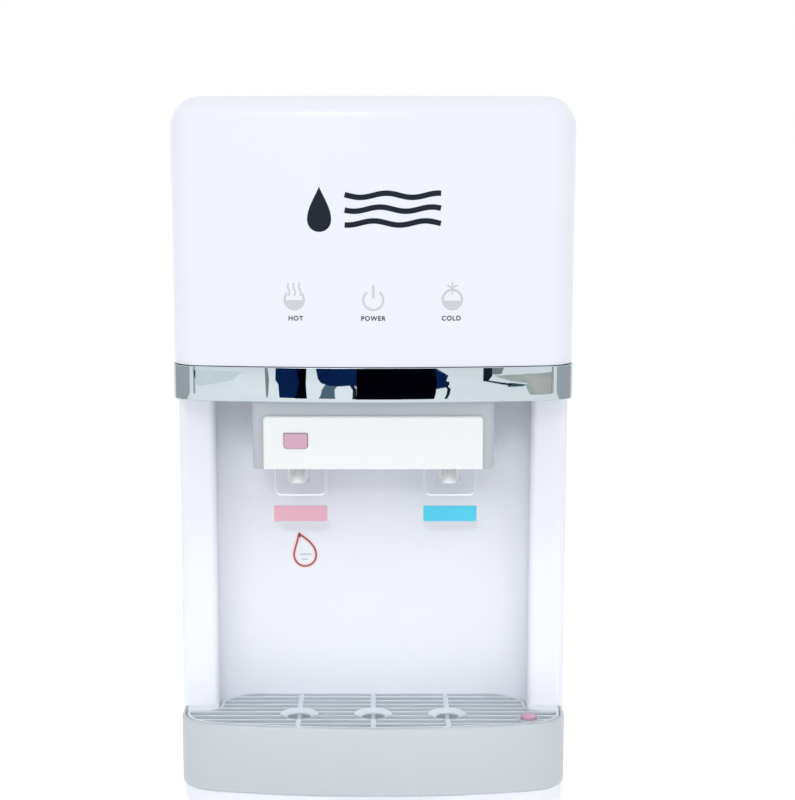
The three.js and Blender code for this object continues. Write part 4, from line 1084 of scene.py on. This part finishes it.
def pan():
    z0, z1 = span("drip_pan")[4:]
    corners = [(6, z0), (2, z0), (2, z1), (4, z1), (4, z0 + 2), (8, z0 + 2)]
    section = fillet(corners, [0, 2, 0.5, 0.5, 1.6, 0], 4)
    # The pan takes the faintly glowing finish, a painted light that brightens it under the grille.
    piece(sweep("pan", well, section), "grey_plastic", ["drip_pan"], "pan_grey_painted_glow", "drip_pan")
    z0, z1 = span("float_indicator")[4:]
    profile = [
        (0.01, z0), (5.1, z0), (5.5, z0 + 0.4), (5.5, z0 + 14), (5, z0 + 17), (5, z1 - 1.4), (4.7, z1 - 0.7),
        (4.0, z1 - 0.25), (2.6, z1 - 0.04), (0.01, z1),
    ]
    stem = lathe("float_button", profile, centre_of("float_indicator")[:2], steps=36)
    piece(stem, "hot_pink", ["float_indicator"], "float_pink", "float_indicator")


# ---- prints


PRINT_RISE, PRINT_ROOT = 0.12, 0.1


def front_y(x):
    return bow_y(HEAD_PLAN, x)


def stroke(points, width, surface_y=front_y, loop=False, rise=PRINT_RISE):
    """A printed line of constant width that lies on a surface, on the head unless another is given."""
    rows = []
    count = len(points)
    for i, (x, z) in enumerate(points):
        before = points[i - 1] if i or loop else points[i]
        after = points[(i + 1) % count] if i < count - 1 or loop else points[i]
        along = Vector((after[0] - before[0], after[1] - before[1])).normalized()
        nx, nz = -along.y * width / 2, along.x * width / 2
        top, foot = surface_y(x) - rise, surface_y(x) + PRINT_ROOT
        row = [(x + nx, top, z + nz), (x - nx, top, z - nz), (x - nx, foot, z - nz), (x + nx, foot, z + nz)]
        rows.append(row)
    return skin("stroke", rows, loop=True, ring=loop)


def patch(points):
    """A filled shape printed on the head."""
    rows = [[(x, front_y(x) + rise, z) for x, z in points] for rise in (-PRINT_RISE, PRINT_ROOT)]
    return skin("patch", rows, loop=True)


def wave(x, z, height, sway, steps=12):
    return [(x + sway * math.sin(2 * math.pi * i / steps), z + height * i / steps) for i in range(steps + 1)]


def ring_points(x, z, radius, open_angle, steps=44):
    """A ring, open at its top by twice the given angle."""
    turns = [math.radians(open_angle + (360 - 2 * open_angle) * i / steps) for i in range(steps + 1)]
    return [(x + radius * math.sin(a), z + radius * math.cos(a)) for a in turns]


def filling(x, z, radius, depth):
    """What is in a round cup, up to the given depth below its middle."""
    low = math.degrees(math.asin(depth / radius))
    return arc(x, z, radius, 180 + low, 360 - low, 16)


def icons():
    z = 348.2
    x = TAPS["hot"]
    hot = [stroke(ring_points(x, z, 6.1, 50), 1.4), patch(filling(x, z, 5.2, 0.4))]
    hot += [stroke(wave(x + dx, z + 2.4, 8.2, 0.6), 1.0) for dx in (-3.5, 0, 3.5)]
    power = [stroke(ring_points(0, z - 0.2, 6.3, 38), 1.3)]
    power.append(stroke([(0, z + 0.8), (0, z + 5), (0, z + 9.4)], 1.3))
    x = TAPS["cold"]
    cold = [stroke(ring_points(x, z, 6.1, 0)[:-1], 1.4, loop=True), patch(filling(x, z, 5.2, 0.8))]
    star_z, star_reach = z + 7.2, 4.0
    for turn in (90, 30, 150):
        dx, dz = star_reach * math.cos(math.radians(turn)), star_reach * math.sin(math.radians(turn))
        cold.append(stroke([(x - dx, star_z - dz), (x, star_z), (x + dx, star_z + dz)], 0.9))
    for name, parts in (("icon_hot", hot), ("icon_power", power), ("icon_cold", cold)):
        piece(merge(name, parts), "grey_plastic", finish="print_grey")


def label(name, text, x, z, size):
    """A word printed on the head's front."""
    curve = bpy.data.curves.new(name, "FONT")
    curve.body = text
    curve.size = size * MM
    curve.align_x = "CENTER"
    curve.extrude = 0.1 * MM
    curve.space_character = 1.15
    curve.offset = 0.07 * MM
    word = add_object(name, curve)
    place = Matrix.Translation((x * MM, (front_y(x) - 0.05) * MM, z * MM))
    word.matrix_world = place @ Matrix.Rotation(math.pi / 2, 4, "X")
    mesh = evaluated_mesh(word)
    mesh.transform(word.matrix_world)
    for vertex in mesh.vertices:
        vertex.co.y += (front_y(vertex.co.x / MM) - front_y(x)) * MM
    bpy.data.objects.remove(word)
    piece(finish_mesh(add_object(name, mesh)), "black_plastic", finish="print_dark")


def prints():
    icons()
    for name, x in (("hot", -49.2), ("power", 0), ("cold", 49.4)):
        label("label_" + name, name.upper(), x, 335.0, 4.1)
    mark_z = 405
    mark = [patch(teardrop(-34, mark_z, 8.6, 14.2))]
    across = [-18 + 60.5 * i / 60 for i in range(61)]
    for k, z in enumerate((mark_z + 8.6, mark_z, mark_z - 8.6)):
        mark.append(stroke([(x, z + 1.3 * math.sin((x + 4 * k) / 5.2)) for x in across], 3.4))
    piece(merge("front_mark", mark), "black_plastic", finish="print_dark")


def teardrop(x, z, half, rise, steps=48):
    """A plain upright drop."""
    turns = [2 * math.pi * i / steps for i in range(steps)]
    return [(x + half * 1.25 * math.sin(t) * math.sin(t / 2) ** 1.5, z + rise * math.cos(t)) for t in turns]


def drop_outline():
    """A leaning drop, its tip up and to the left: a smooth curve through its knots."""
    knots = [
        (-51.3, 180.1), (-48.2, 178.0), (-44.4, 174.9), (-41.2, 171.0), (-39.6, 166.8), (-39.9, 162.3),
        (-42.4, 158.9), (-46.3, 157.3), (-50.4, 158.0), (-53.5, 160.9), (-54.7, 165.2), (-53.9, 169.8),
        (-52.7, 174.0), (-51.8, 177.6),
    ]
    points = []
    count = len(knots)
    for i in range(count):
        p = [Vector(knots[(i + k) % count]) for k in (-1, 0, 1, 2)]
        if i == 0:
            p[0] = p[1] * 2 - p[2]
        if i == count - 1:
            p[3] = p[2] * 2 - p[1]
        for k in range(5):
            t = k / 5
            spot = 2 * p[1] + (p[2] - p[0]) * t + (2 * p[0] - 5 * p[1] + 4 * p[2] - p[3]) * t**2
            spot += (3 * p[1] - p[0] - 3 * p[2] + p[3]) * t**3
            points.append(tuple(spot / 2))
    return points


def hot_sticker():
    def wall_y(x):
        return RECESS_WALL

    halo = stroke(drop_outline(), 3.4, wall_y, True, 0.08)
    piece(halo, "hot_pink", finish="print_blush").name = "drop_halo"
    line = stroke(drop_outline(), 1.25, wall_y, True, 0.13)
    piece(line, "switch_red", finish="print_red").name = "drop_line"
    bars = [stroke([(a, z), (b, z)], 1, wall_y) for a, b, z in ((-50.6, -42.6, 165.6), (-49.4, -45.2, 162.1))]
    piece(merge("drop_bars", bars), "grey_plastic", finish="print_grey")


# ---- the object

camera_and_light()
stage_floor()
stage_cards()
head_shell()
top_shell()
lid()
band()
recess()
side_skins()
rear()
base()
housing_box()
lock_button()
for tap_name, tap_x in TAPS.items():
    tap(tap_name, tap_x)
    lever(tap_name, tap_x)
springs()
grille()
pan()
prints()
hot_sticker()

SLOT_OF = {part["node"]: part["material_slot"] for part in frame["record"]["subparts"]}
for node_name, node_object in frame["nodes"].items():
    node_object.data.materials.clear()
    node_object.data.materials.append(MATERIALS[SLOT_OF[node_name]])
